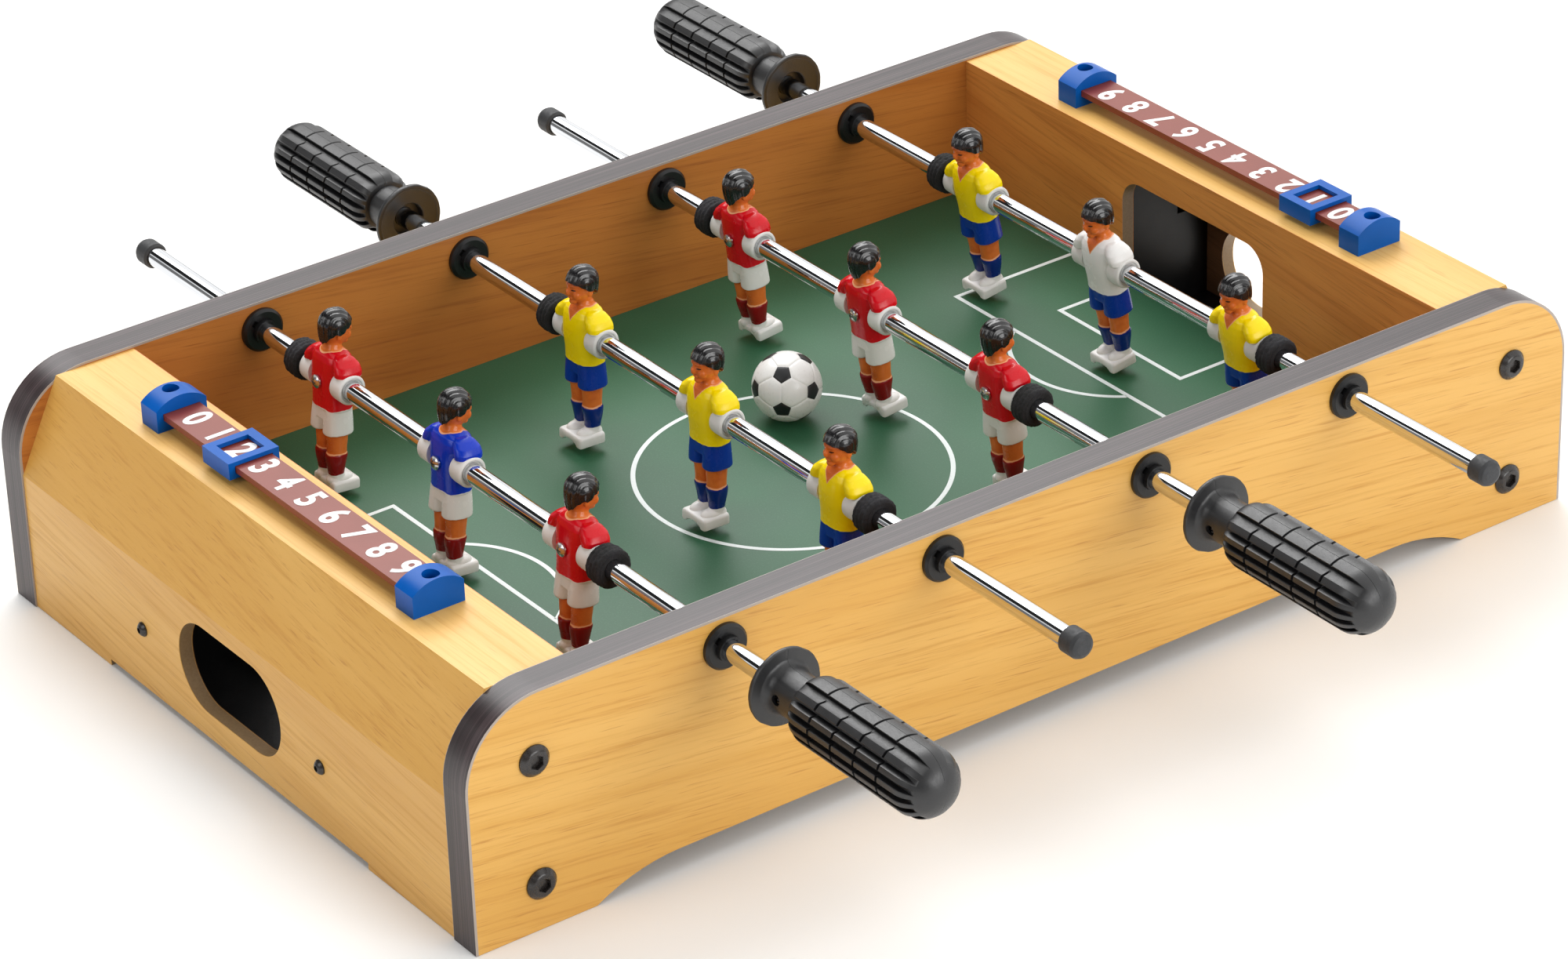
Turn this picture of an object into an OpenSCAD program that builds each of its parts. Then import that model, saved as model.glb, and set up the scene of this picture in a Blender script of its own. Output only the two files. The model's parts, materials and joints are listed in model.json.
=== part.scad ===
// Tabletop foosball: four playing rods with twelve figures in a wooden cabinet.
// X runs along the cabinet, Y across it along the rods, Z up. The origin is on the
// table top under the middle of the cabinet.

/* [Cabinet] */
// Length of the side panels
cabinet_length = 510; // [500:1:540]
// Overall width across the side panels
cabinet_width = 322; // [320:1:330]
// Height of the side panels
cabinet_height = 96.4; // [95:0.2:102]
// Thickness of a side panel
panel_thickness = 14; // [13:0.5:15]
// Radius of the side panels' upper corners
corner_radius = 32; // [20:1:40]
// Thickness of the dark banding glued round a side panel
band_thickness = 1; // [0.6:0.1:1.6]
// Thickness of the boards of the end boxes
board_thickness = 6; // [5:0.5:7]
// Height of the end boxes
end_box_height = 95; // [94:0.5:95]
// Distance from the middle to the inner face of a goal wall
field_half_length = 201.8; // [200:0.2:203]
// Width of an end box's flat top
end_top_width = 34.2; // [33:0.2:35]
// Distance from the middle to the outer face of an end board
end_board_x = 254.3; // [253:0.1:254.6]
// Height where the sloping board meets the end board
slope_foot_z = 57.9; // [55:0.1:60]
// Height of the playing surface
field_z = 35.4; // [34:0.2:36.4]
// Thickness of the playing surface's board
field_thickness = 3; // [2.5:0.1:4]

/* [Openings] */
// Height of the arch under a side panel
arch_height = 9.3; // [6:0.1:12]
// Distance from the middle to where the arch comes down to the foot
arch_half_length = 204; // [190:1:215]
// Width of a goal mouth
mouth_width = 88; // [84:1:90]
// Height of the top of a goal mouth
mouth_top_z = 80; // [76:0.5:82]
// Radius of a goal mouth's upper corners
mouth_radius = 11; // [6:0.5:16]
// Length of the ball outlet in an end board
outlet_width = 71; // [66:1:74]
// Height of the ball outlet
outlet_height = 37; // [34:0.5:38]
// Height of the middle of the ball outlet
outlet_z = 32; // [31:0.5:34]
// Depth of the shallow cut-out along the bottom of an end board
recess_depth = 2.6; // [2:0.1:4]
// Length of the shallow cut-out along the bottom of an end board
recess_length = 181; // [160:1:200]

/* [Rods] */
// Height of the rod axes
rod_z = 84.6; // [84:0.1:85.6]
// Distance between neighbouring rods
rod_pitch = 96.2; // [95.6:0.1:97]
// Shift of all four rods along the cabinet from its middle
rod_shift = -1.2; // [-2:0.1:2]
// Outer diameter of a rod
rod_d = 8; // [7.8:0.1:8.2]
// Wall of a rod's tube
rod_wall = 1.2; // [0.8:0.1:1.6]
// Distance between the figures on a rod
figure_pitch = 83; // [80:0.5:84]
// Places of the four rods along their own axes
rod_slide = [12.5, -18.5, 10.5, -17.5];
// How far each rod's feet lean towards +X, in degrees
rod_lean = [-5, -2, 6, 8];
// Distance from a rod's middle to its handle's free end
handle_end = 300; // [296:1:304]
// Distance from a rod's middle to the end of its rubber cap
cap_end = 223.5; // [220:0.5:228]

/* [Handles and caps] */
// Diameter of a handle's flange
flange_d = 30; // [28:0.5:32]
// Diameter of a handle's neck
neck_d = 17.5; // [16:0.5:19]
// Diameter of a handle's grip
grip_d = 26; // [24:0.5:27]
// Length of a handle from its flange to its free end
handle_length = 92; // [88:1:96]
// Length of a handle's grip
grip_length = 75; // [70:1:77]
// Depth of the grooves in a grip
groove_depth = 1.6; // [1:0.1:2]
// Width of the grooves in a grip
groove_width = 1.2; // [0.8:0.1:1.6]
// Diameter of a rod's rubber end cap
end_cap_d = 10.5; // [10:0.5:12]
// Length of a rod's rubber end cap
end_cap_length = 9; // [8:0.5:11]

/* [Bushings and bumpers] */
// Diameter of a bushing's flanged ring
ring_d = 18; // [17:0.5:20]
// Thickness of a bushing ring's flange
ring_thickness = 2.5; // [2:0.1:3]
// Diameter of a bushing's sleeve
sleeve_d = 10; // [9.8:0.1:10.4]
// How far a sleeve stands out of the panel
sleeve_reach = 4.5; // [3.5:0.1:5.5]
// Diameter of a bumper
bumper_d = 16; // [15:0.5:18]
// Length of a bumper along its rod
bumper_length = 8.5; // [7:0.5:9]

/* [Figures] */
// Distance from the rod axis down to the soles
sole_drop = 46.2; // [44:0.1:46.6]
// Distance from the rod axis up to the crown of the head
crown_rise = 29.4; // [28:0.1:30]
// Half of the distance between the arm hubs' outer faces
hub_half = 15; // [14:0.5:15.5]
// Diameter of an arm hub
hub_d = 13.6; // [12.6:0.2:14.4]
// Width of a foot block
foot_width = 15; // [14:0.5:16]
// Length of a foot block
foot_length = 12.2; // [11:0.2:12.4]
// Height of a foot block
foot_height = 4.7; // [4:0.1:5.4]

/* [Score counters] */
// Distance between the digits of a counter
digit_pitch = 15.8; // [15:0.1:16]
// Length of a counter's base between its caps' outer faces
counter_length = 186; // [184:1:196]
// Width of a counter's numbered bar
bar_width = 15.6; // [15:0.2:16.4]
// Width of a counter's cap and marker
counter_width = 21.6; // [21:0.2:22.4]
// Digit that the left marker frames
left_score = 2; // [0:1:9]
// Digit that the right marker frames
right_score = 1; // [0:1:9]

/* [Ball] */
// Radius of the ball
ball_r = 14; // [13:0.5:14]
// Place of the ball on the playing surface
ball_place = [22.5, 32.2];

/* [Hidden] */

$fn = 64;
fine = 96;
sliver = 0.02;
cut = 1;

// clearances: a turning shaft, a loose screw and a sliding marker
fit_gap = 0.05;
screw_gap = 0.15;
slide_gap = 0.3;

panel_y = cabinet_width / 2;
inner_y = panel_y - panel_thickness;
inner_width = 2 * inner_y;
rod_x = [for (i = [0:3]) rod_shift + (i - 1.5) * rod_pitch];

// profile of an end box, from its inner upper edge round to its foot
box_a = [field_half_length, end_box_height];
box_b = [field_half_length + end_top_width, end_box_height];
box_c = [end_board_x, slope_foot_z];
slope_run = box_c - box_b;
slope_length = norm(slope_run);
slope_in = [slope_run[1], -slope_run[0]] / slope_length;
// where two boards of equal thickness meet, their inner faces cross here
function mitre(n, m) = board_thickness * (n + m) / (1 + n * m);
box_b_in = box_b + mitre([0, -1], slope_in);
box_c_in = box_c + mitre(slope_in, [-1, 0]);
tray_x = field_half_length + board_thickness + 0.3;
tray_end_x = end_board_x - board_thickness - 0.1;
tray_wall = 1.5;
tray_floor_z = outlet_z - outlet_height / 2 - 1;
tray_half = mouth_width / 2 + 2.5;
tray_top_z = end_box_height - board_thickness - 2;
tray_lug_half = 68;
tray_screw_y = 62;
tray_screw_z = 29;
tray_screw_length = 13;
tray_lug_height = 18;
tray_boss = 8;
tray_boss_d = 7;
tray_cheek_depth = 24;
tray_cheek_height = 42;
wood_screw_d = 3;
wood_head_d = 5.8;
wood_head = 2.2;

// circle that springs from the foot and runs level into the arch's flat top
arch_run = 36;
arch_r = (arch_run * arch_run + arch_height * arch_height) / (2 * arch_height);
arch_flat = arch_half_length - arch_run;

bolt_x = 226.7;
bolt_heights = [19, 69.3];
bolt_d = 6;
bolt_head_d = 12.4;
bolt_head = 3.2;
block_size = [20, 22, 68];
block_z = 8;
block_bore = 18;
groove_reach = 4;

ring_barrel = 5;
ring_wall_d = 13;
notch_width = 2.6;

bar_thickness = 2.6;
bar_z = 99.6;
bar_half = counter_length / 2 - 8;
counter_x = field_half_length + end_top_width / 2;
score_cap_length = 11.4;
score_cap_y = (counter_length - score_cap_length) / 2;
shoulder_z = end_box_height + 8.8;
cap_seat_z = shoulder_z - 1.2;
cap_screw_y = 1.4;
cap_screw_length = 7.4;
cap_pocket = 4.4;
cap_rise = 4.2;
cap_arch_r = (pow(counter_width / 2, 2) + cap_rise * cap_rise) / (2 * cap_rise);
marker_length = 18.6;
marker_z = 97.4;
marker_top_z = 104.2;
window_size = [13.6, 11.6];

neck_length = handle_length - grip_length;
handle_root = handle_end - handle_length;
rod_near_end = handle_end - 8;
rod_far_end = cap_end - 1.5;
grip_rows = 5;
grip_dome = 10;
grip_slots = [8.3, 5, 1.7, -1.7, -5, -8.3];
handle_screw_y = handle_root + 8;
handle_screw_x = -6.4;
handle_screw_head_d = 3.6;
figure_screw_d = 2.6;
figure_screw_head_d = 5.4;
figure_screw_drop = 1;
bumper_y = figure_pitch + hub_half + bumper_length / 2 + 0.2;

// digit k's place along the left counter; the right counter is the left one turned round
function digit_y(k) = digit_pitch * (4.5 - k);
// side -1 is the near panel or the left end, side 1 the far panel or the right end
module at_end(side) mirror([side < 0 ? 1 : 0, 0, 0]) children();
module at_side(side) mirror([0, side < 0 ? 1 : 0, 0]) children();

// a solid whose outline is drawn in the XZ plane, from y0 to y1
module across(y0, y1) translate([0, y1, 0]) rotate([90, 0, 0]) linear_extrude(y1 - y0) children();
// a solid whose outline is drawn in the YZ plane, from x0 to x1
module along(x0, x1) translate([x0, 0, 0]) rotate([90, 0, 90]) linear_extrude(x1 - x0) children();
// a round bar along Y
module bar_y(d, y0, y1, facets = $fn)
    translate([0, y1, 0]) rotate([90, 0, 0]) cylinder(d = d, h = y1 - y0, $fn = facets);
// a profile of radius and place turned about the Y axis
module turned() rotate([-90, 0, 0]) rotate_extrude($fn = fine) children();

module panel_outline(inset) {
    r = corner_radius - inset;
    x = cabinet_length / 2 - inset;
    corner_x = cabinet_length / 2 - corner_radius;
    corner_z = cabinet_height - corner_radius;
    translate([-x, 0]) square([2 * x, corner_z]);
    translate([-corner_x, 0]) square([2 * corner_x, cabinet_height - inset]);
    for (side = [-1, 1]) translate([side * corner_x, corner_z]) circle(r, $fn = fine);
}

module arch_outline() {
    translate([-arch_flat, -cut]) square([2 * arch_flat, arch_height + cut]);
    for (side = [-1, 1])
        translate([side * arch_flat, arch_height - arch_r]) circle(arch_r, $fn = 2 * fine);
}

module side_panel(side) color("burlywood") at_side(side) difference() {
    across(inner_y, panel_y) difference() {
        panel_outline(band_thickness);
        arch_outline();
    }
    for (x = rod_x)
        translate([x, 0, rod_z]) bar_y(ring_wall_d + 2 * fit_gap, inner_y - cut, panel_y + cut);
    for (x = [-bolt_x, bolt_x], z = bolt_heights)
        translate([x, 0, z]) bar_y(bolt_d + 2 * screw_gap, inner_y - cut, panel_y + cut);
    translate([-field_half_length - sliver, inner_y - cut, field_z - field_thickness - sliver])
        cube([2 * (field_half_length + sliver), groove_reach + cut, field_thickness + 2 * sliver]);
}

module edge_band(side) color("dimgray") at_side(side) across(inner_y, panel_y) difference() {
    panel_outline(0);
    panel_outline(band_thickness);
}

module top_board(side) color("burlywood") at_end(side) across(-inner_y, inner_y)
    polygon([box_a, box_b, box_b_in, [box_a[0], box_a[1] - board_thickness]]);

module slope_board(side) color("burlywood") at_end(side) across(-inner_y, inner_y)
    polygon([box_b, box_c, box_c_in, box_b_in]);

module outlet_outline() {
    r = outlet_height / 2;
    run = outlet_width - outlet_height;
    translate([-run / 2, outlet_z - r]) square([run, outlet_height]);
    for (side = [-1, 1]) translate([side * run / 2, outlet_z]) circle(r);
}

module end_board(side) color("burlywood") at_end(side) difference() {
    across(-inner_y, inner_y)
        polygon([box_c, [box_c[0], 0], [box_c[0] - board_thickness, 0], box_c_in]);
    along(end_board_x - board_thickness - cut, end_board_x + cut) outlet_outline();
    along(end_board_x - board_thickness - cut, end_board_x + cut)
        translate([-recess_length / 2, -cut]) square([recess_length, recess_depth + cut]);
    for (y = [-tray_screw_y, tray_screw_y]) translate([end_board_x + cut, y, tray_screw_z])
        rotate([0, -90, 0])
            cylinder(d = wood_screw_d + 2 * screw_gap, h = board_thickness + 2 * cut);
}

module mouth_outline() {
    x = mouth_width / 2;
    corner_x = x - mouth_radius;
    corner_z = mouth_top_z - mouth_radius;
    translate([-x, field_z]) square([mouth_width, corner_z - field_z]);
    translate([-corner_x, field_z]) square([2 * corner_x, mouth_top_z - field_z]);
    for (side = [-1, 1]) translate([side * corner_x, corner_z]) circle(mouth_radius);
}

module goal_wall(side) color("peru") at_end(side)
    along(field_half_length, field_half_length + board_thickness) difference() {
        translate([-inner_y, board_thickness])
            square([inner_width, end_box_height - 2 * board_thickness]);
        mouth_outline();
    }

module goal_tray(side) color("black") at_end(side) difference() {
    union() {
        translate([tray_x, -tray_half, tray_floor_z - tray_wall])
            cube([tray_end_x - tray_x, 2 * tray_half, tray_wall]);
        for (y = [-tray_half, tray_half - tray_wall]) translate([tray_x, y, tray_floor_z - tray_wall])
            cube([tray_cheek_depth, tray_wall, tray_top_z - tray_floor_z + tray_wall]);
        for (y = [-tray_half, tray_half - tray_wall]) translate([tray_x, y, tray_floor_z - tray_wall])
            cube([tray_end_x - tray_x, tray_wall, tray_cheek_height]);
        translate([tray_x, -tray_half, tray_floor_z - tray_wall])
            cube([tray_wall, 2 * tray_half, field_z - tray_floor_z]);
        for (y = [-tray_lug_half, tray_half - tray_wall])
            translate([tray_end_x - tray_wall, y, tray_screw_z - tray_lug_height / 2])
                cube([tray_wall, tray_lug_half - tray_half + tray_wall, tray_lug_height]);
        for (y = [-tray_screw_y, tray_screw_y]) translate([tray_end_x - tray_boss, y, tray_screw_z])
            rotate([0, 90, 0]) cylinder(d = tray_boss_d, h = tray_boss);
    }
    for (y = [-tray_screw_y, tray_screw_y]) translate([tray_end_x + cut, y, tray_screw_z])
        rotate([0, -90, 0]) cylinder(d = wood_screw_d + 2 * fit_gap, h = tray_screw_length + cut);
}

module playfield() color("darkgreen")
    translate([-field_half_length, -inner_y - groove_reach, field_z - field_thickness])
        cube([2 * field_half_length, inner_width + 2 * groove_reach, field_thickness]);

module bushing_sleeves(side) color("black") at_side(side) for (x = rod_x) translate([x, 0, rod_z])
    difference() {
        bar_y(sleeve_d, inner_y - sleeve_reach, panel_y + sleeve_reach);
        bar_y(rod_d + 2 * fit_gap, inner_y - sleeve_reach - cut, panel_y + sleeve_reach + cut);
    }

// one flanged ring pressed into a panel's hole, flange outwards, standing on y = 0
module bushing_ring() difference() {
    turned() polygon([
        [sleeve_d / 2 + fit_gap, -ring_barrel], [ring_wall_d / 2, -ring_barrel],
        [ring_wall_d / 2, 0], [ring_d / 2, 0], [ring_d / 2, ring_thickness - 1],
        [ring_d / 2 - 1, ring_thickness], [sleeve_d / 2 + fit_gap, ring_thickness]
    ]);
    for (turn = [45, 225]) rotate([0, turn, 0])
        translate([sleeve_d / 2 - 1, ring_thickness - 1.4, -notch_width / 2])
            cube([2.8, 1.4 + cut, notch_width]);
}

module bushing_rings() color("black") for (side = [-1, 1], x = rod_x) at_side(side)
    translate([x, 0, rod_z]) {
        translate([0, panel_y, 0]) bushing_ring();
        translate([0, inner_y, 0]) mirror([0, 1, 0]) bushing_ring();
    }

// the left counter as it lies; the right one is turned half round the cabinet's middle
module at_counter(side) rotate([0, 0, side < 0 ? 0 : 180]) translate([-counter_x, 0, 0]) children();

module score_bar(side) color("brown") at_counter(side)
    translate([-bar_width / 2, -bar_half, bar_z]) cube([bar_width, 2 * bar_half, bar_thickness]);

module score_cap() difference() {
    across(-score_cap_length / 2, score_cap_length / 2) {
        translate([-counter_width / 2, end_box_height])
            square([counter_width, shoulder_z - end_box_height]);
        intersection() {
            translate([0, shoulder_z + cap_rise - cap_arch_r]) circle(cap_arch_r, $fn = fine);
            translate([-counter_width / 2, shoulder_z - sliver])
                square([counter_width, cap_rise + cut]);
        }
    }
    translate([-bar_width / 2 - screw_gap, -score_cap_length / 2 - cut, bar_z - screw_gap])
        cube([bar_width + 2 * screw_gap, cap_pocket + cut, bar_thickness + 2 * screw_gap]);
    translate([0, cap_screw_y, cap_seat_z]) cylinder(d = wood_head_d + 0.8, h = 10);
    translate([0, cap_screw_y, end_box_height - cut])
        cylinder(d = wood_screw_d + 2 * screw_gap, h = 12);
}

module score_caps(side) color("royalblue") at_counter(side) for (end = [-1, 1])
    at_side(end) translate([0, score_cap_y, 0]) score_cap();

module score_marker(side, digit) color("royalblue") at_counter(side)
    translate([0, digit_y(digit), 0]) difference() {
        translate([-counter_width / 2, -marker_length / 2, marker_z])
            cube([counter_width, marker_length, marker_top_z - marker_z]);
        translate([-bar_width / 2 - slide_gap, -marker_length / 2 - cut, bar_z - slide_gap])
            cube([bar_width + 2 * slide_gap, marker_length + 2 * cut, bar_thickness + 2 * slide_gap]);
        translate([-window_size[0] / 2, -window_size[1] / 2, bar_z])
            cube([window_size[0], window_size[1], 10]);
    }

// a round-headed wood screw, its head's flat underside on z = 0 and its point down
module wood_screw(length) {
    difference() {
        intersection() {
            cylinder(d = wood_head_d, h = wood_head);
            translate([0, 0, wood_head - 3.3]) sphere(3.3);
        }
        translate([0, 0, wood_head / 2]) cylinder(d = 2.4, h = 2, $fn = 6);
    }
    translate([0, 0, -length]) cylinder(d = wood_screw_d, h = length + sliver);
}

module wood_screws() color("dimgray") {
    for (side = [-1, 1], end = [-1, 1]) at_counter(side) at_side(end)
        translate([0, score_cap_y + cap_screw_y, cap_seat_z]) wood_screw(cap_screw_length);
    for (side = [-1, 1], y = [-tray_screw_y, tray_screw_y]) at_end(side)
        translate([end_board_x, y, tray_screw_z]) rotate([0, 90, 0]) wood_screw(tray_screw_length);
}

// a button-headed bolt along Y, its head's underside on y = 0 and the head outwards
module cabinet_bolt() {
    difference() {
        turned() polygon([
            [0, 0], [bolt_head_d / 2, 0], [bolt_head_d / 2, 0.8], [bolt_head_d / 2 - 1.1, 2.2],
            [bolt_head_d / 2 - 2.9, bolt_head], [0, bolt_head]
        ]);
        translate([0, bolt_head + cut, 0]) rotate([90, 0, 0]) cylinder(d = 4.6, h = 1.8 + cut, $fn = 6);
    }
    bar_y(bolt_d, -panel_thickness - block_bore + 2, sliver);
}

module cabinet_bolts() color("black") for (side = [-1, 1], x = [-bolt_x, bolt_x], z = bolt_heights)
    at_side(side) translate([x, panel_y, z]) cabinet_bolt();

module corner_blocks() color("tan") for (side = [-1, 1], end = [-1, 1]) at_side(side) at_end(end)
    difference() {
        translate([bolt_x - block_size[0] / 2, inner_y - block_size[1], block_z]) cube(block_size);
        for (z = bolt_heights)
            translate([bolt_x, 0, z]) bar_y(bolt_d + 2 * fit_gap, inner_y - block_bore, inner_y + cut);
    }

// a rod's own frame: its axis along Y, its handle towards -Y and its figures facing +X
module on_rod(i) translate([rod_x[i], rod_slide[i], rod_z]) rotate([0, -rod_lean[i], 0])
    rotate([0, 0, i % 2 == 0 ? 0 : 180]) children();

// a screw's hole through the rod, from behind the figures
module screw_hole(y, d, drop = 0) translate([-20, y, -drop]) rotate([0, 90, 0]) cylinder(d = d, h = 23);

module rod(i) color("silver") on_rod(i) difference() {
    bar_y(rod_d, -rod_near_end, rod_far_end);
    bar_y(rod_d - 2 * rod_wall, -rod_near_end - cut, rod_far_end + cut);
    for (y = [-figure_pitch, 0, figure_pitch, -handle_screw_y])
        screw_hole(y, figure_screw_d + 2 * fit_gap);
}

module grip_outline() polygon(concat(
    [[0, 0], [flange_d / 2 - 1, 0], [flange_d / 2, 0.8], [flange_d / 2, 1.6],
     [flange_d / 2 - 0.6, 2], [neck_d / 2, 2.4], [neck_d / 2 - 0.6, neck_length],
     [grip_d / 2 - 3.4, neck_length], [grip_d / 2 - 1, neck_length + 1.2],
     [grip_d / 2, neck_length + 3.6]],
    [for (a = [0:10:90])
        [(grip_d / 2) * cos(a), handle_length - grip_dome + grip_dome * sin(a)]]
));

module handle(i) color("black") on_rod(i) translate([0, -handle_root, 0]) mirror([0, 1, 0])
    difference() {
        turned() grip_outline();
        for (row = [1:grip_rows - 1])
            translate([0, neck_length + row * (grip_length - grip_dome) / grip_rows, 0]) difference() {
                bar_y(grip_d + 2 * cut, -groove_width / 2, groove_width / 2);
                bar_y(grip_d - 2 * groove_depth, -cut, cut);
            }
        for (side = [-1, 1], z = grip_slots) at_end(side)
            translate([sqrt(pow(grip_d / 2 - groove_depth, 2) - z * z), neck_length - cut,
                z - groove_width / 2])
                cube([grip_d, grip_length - grip_dome + cut, groove_width]);
        bar_y(rod_d + 2 * fit_gap, -cut, rod_near_end - handle_root + 0.5);
        difference() {
            bar_y(neck_d - 3.6, -cut, 4);
            bar_y(rod_d + 3, -2 * cut, 5);
        }
        screw_hole(handle_screw_y - handle_root, figure_screw_d + 2 * fit_gap);
        translate([handle_screw_x - 6, handle_screw_y - handle_root, 0]) rotate([0, 90, 0])
            cylinder(d = handle_screw_head_d + 0.6, h = 6);
    }

module end_cap(i) color("black") on_rod(i) difference() {
    translate([0, cap_end - end_cap_length, 0]) turned() polygon([
        [0, 0], [end_cap_d / 2 - 0.8, 0], [end_cap_d / 2, 0.8],
        [end_cap_d / 2, end_cap_length - 2.2], [end_cap_d / 2 - 0.7, end_cap_length - 0.8],
        [end_cap_d / 2 - 2.2, end_cap_length], [0, end_cap_length]
    ]);
    bar_y(rod_d + 2 * fit_gap, cap_end - end_cap_length - cut, rod_far_end + 0.1);
}

// a pan-headed screw along X, its head's underside on x = 0 and its point towards +X
module pan_screw(length, head_d) {
    difference() {
        intersection() {
            translate([-1.9, 0, 0]) rotate([0, 90, 0]) cylinder(d = head_d, h = 1.9);
            translate([-1.9 + head_d * 0.7, 0, 0]) sphere(head_d * 0.7);
        }
        for (turn = [0, 90]) rotate([turn, 0, 0])
            translate([-3, -1.4, -0.3]) cube([2, 2.8, 0.6]);
    }
    translate([-sliver, 0, 0]) rotate([0, 90, 0]) cylinder(d = figure_screw_d, h = length);
}

back_x = -6.6;
module rod_screws(i) color("lightgray") on_rod(i) {
    for (y = [-figure_pitch, 0, figure_pitch])
        translate([back_x - 0.1, y, 0]) pan_screw(-back_x + 2.8, figure_screw_head_d);
    translate([handle_screw_x - fit_gap, -handle_screw_y, 0])
        pan_screw(-handle_screw_x + 2.8, handle_screw_head_d);
}

module bumpers(i) color("black") on_rod(i) for (y = [-bumper_y, bumper_y])
    translate([0, y, 0]) difference() {
        turned() polygon([
            [0, -bumper_length / 2], [bumper_d / 2 - 1.4, -bumper_length / 2],
            [bumper_d / 2, -bumper_length / 2 + 1.4], [bumper_d / 2, bumper_length / 2 - 1.4],
            [bumper_d / 2 - 1.4, bumper_length / 2], [0, bumper_length / 2]
        ]);
        bar_y(rod_d + 2 * fit_gap, -bumper_length, bumper_length);
    }

// outlines of a figure's trunk, seen from the front and from the side
trunk_front = [
    [2.6, 14], [7.6, 11.8], [10, 8.4], [11.2, 3], [9.6, -3], [7.4, -9.5],
    [-7.4, -9.5], [-9.6, -3], [-11.2, 3], [-10, 8.4], [-7.6, 11.8], [-2.6, 14]
];
trunk_side = [
    [-3.4, 13.6], [-6, 10.4], [-6.6, 4], [-6.4, -4], [-5.4, -9.5],
    [5.8, -9.5], [7.4, -2], [8, 5], [6.6, 9.6], [3.4, 13.6]
];
head_r = 6.6;
hair_r = 7;
head_x = 1.8;
leg_y = 4;
foot_x = -3.6;
toe_r = 2.9;

module figure_head() {
    translate([head_x, 0, crown_rise - hair_r]) {
        translate([0.4, 0, -1.6]) sphere(head_r - 0.4);
        difference() {
            sphere(hair_r);
            rotate([0, 28, 0]) translate([-20, -20, -41.5]) cube(40);
        }
    }
    translate([0.4, 0, 11]) cylinder(r = 3.9, h = 8);
}

module figure_trunk() {
    intersection() {
        along(-9, 9) polygon(trunk_front);
        across(-13, 13) polygon(trunk_side);
    }
    bar_y(hub_d, -hub_half, hub_half);
}

module figure_legs() {
    for (side = [-1, 1]) translate([0, side * leg_y, 0]) {
        translate([0, 0, -19.5]) cylinder(r1 = 4.9, r2 = 5.2, h = 12);
        translate([0, 0, -30]) cylinder(r1 = 3.6, r2 = 4.2, h = 12);
        translate([0, 0, foot_height - sole_drop - 1]) cylinder(r1 = 3.2, r2 = 4, h = 14);
    }
    translate([-4.4, -leg_y, -17.5]) cube([8.8, 2 * leg_y, 10]);
    translate([-2.4, -1.2, foot_height - sole_drop - 1]) cube([4.8, 2.4, 28]);
}

module figure_foot() {
    difference() {
        translate([foot_x, -foot_width / 2, -sole_drop]) cube([foot_length, foot_width, foot_height]);
        translate([foot_x - cut, 0, -sole_drop - 3.4]) rotate([0, 90, 0])
            cylinder(r = 5.4, h = foot_length + 2 * cut);
    }
    for (side = [-1, 1]) translate([0, side * leg_y * 0.85, foot_height - sole_drop]) {
        rotate([0, 90, 0]) cylinder(r = toe_r, h = 4.6);
        translate([4.6, 0, 0]) sphere(toe_r);
    }
}

module figure(i, place) color(figure_color(i, place)) on_rod(i)
    translate([0, place * figure_pitch * (i % 2 == 0 ? 1 : -1), 0]) difference() {
        union() {
            figure_head();
            figure_trunk();
            figure_legs();
            figure_foot();
        }
        bar_y(rod_d + 2 * fit_gap, -hub_half - cut, hub_half + cut);
        translate([back_x - 6, 0, 0]) rotate([0, 90, 0]) cylinder(d = figure_screw_head_d + 0.6, h = 6);
        screw_hole(0, figure_screw_d + 2 * fit_gap);
    }

function figure_color(i, place) =
    i == 0 && place == 0 ? "royalblue" :
    i == 3 && place == 0 ? "white" :
    i % 2 == 0 ? "crimson" : "gold";

module ball() color("white") translate([ball_place[0], ball_place[1], field_z + ball_r])
    sphere(ball_r, $fn = fine);

side_panel(-1);  // side_panel_near
side_panel(1);  // side_panel_far
edge_band(-1);  // edge_band_near
edge_band(1);  // edge_band_far
top_board(-1);  // top_board_left
top_board(1);  // top_board_right
slope_board(-1);  // slope_board_left
slope_board(1);  // slope_board_right
end_board(-1);  // end_board_left
end_board(1);  // end_board_right
goal_wall(-1);  // goal_wall_left
goal_wall(1);  // goal_wall_right
goal_tray(-1);  // goal_tray_left
goal_tray(1);  // goal_tray_right
playfield();
bushing_sleeves(-1);  // bushing_sleeves_near
bushing_sleeves(1);  // bushing_sleeves_far
bushing_rings();
score_bar(-1);  // score_bar_left
score_bar(1);  // score_bar_right
score_caps(-1);  // score_caps_left
score_caps(1);  // score_caps_right
score_marker(-1, left_score);  // score_marker_left
score_marker(1, right_score);  // score_marker_right
wood_screws();
cabinet_bolts();
corner_blocks();
rod(0);  // rod_1
rod(1);  // rod_2
rod(2);  // rod_3
rod(3);  // rod_4
handle(0);  // handle_1
handle(1);  // handle_2
handle(2);  // handle_3
handle(3);  // handle_4
end_cap(0);  // end_cap_1
end_cap(1);  // end_cap_2
end_cap(2);  // end_cap_3
end_cap(3);  // end_cap_4
rod_screws(0);  // rod_screws_1
rod_screws(1);  // rod_screws_2
rod_screws(2);  // rod_screws_3
rod_screws(3);  // rod_screws_4
bumpers(0);  // bumpers_1
bumpers(1);  // bumpers_2
bumpers(2);  // bumpers_3
bumpers(3);  // bumpers_4
figure(0, -1);  // figure_1_near
figure(0, 0);  // figure_1_middle
figure(0, 1);  // figure_1_far
figure(1, -1);  // figure_2_near
figure(1, 0);  // figure_2_middle
figure(1, 1);  // figure_2_far
figure(2, -1);  // figure_3_near
figure(2, 0);  // figure_3_middle
figure(2, 1);  // figure_3_far
figure(3, -1);  // figure_4_near
figure(3, 0);  // figure_4_middle
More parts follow.
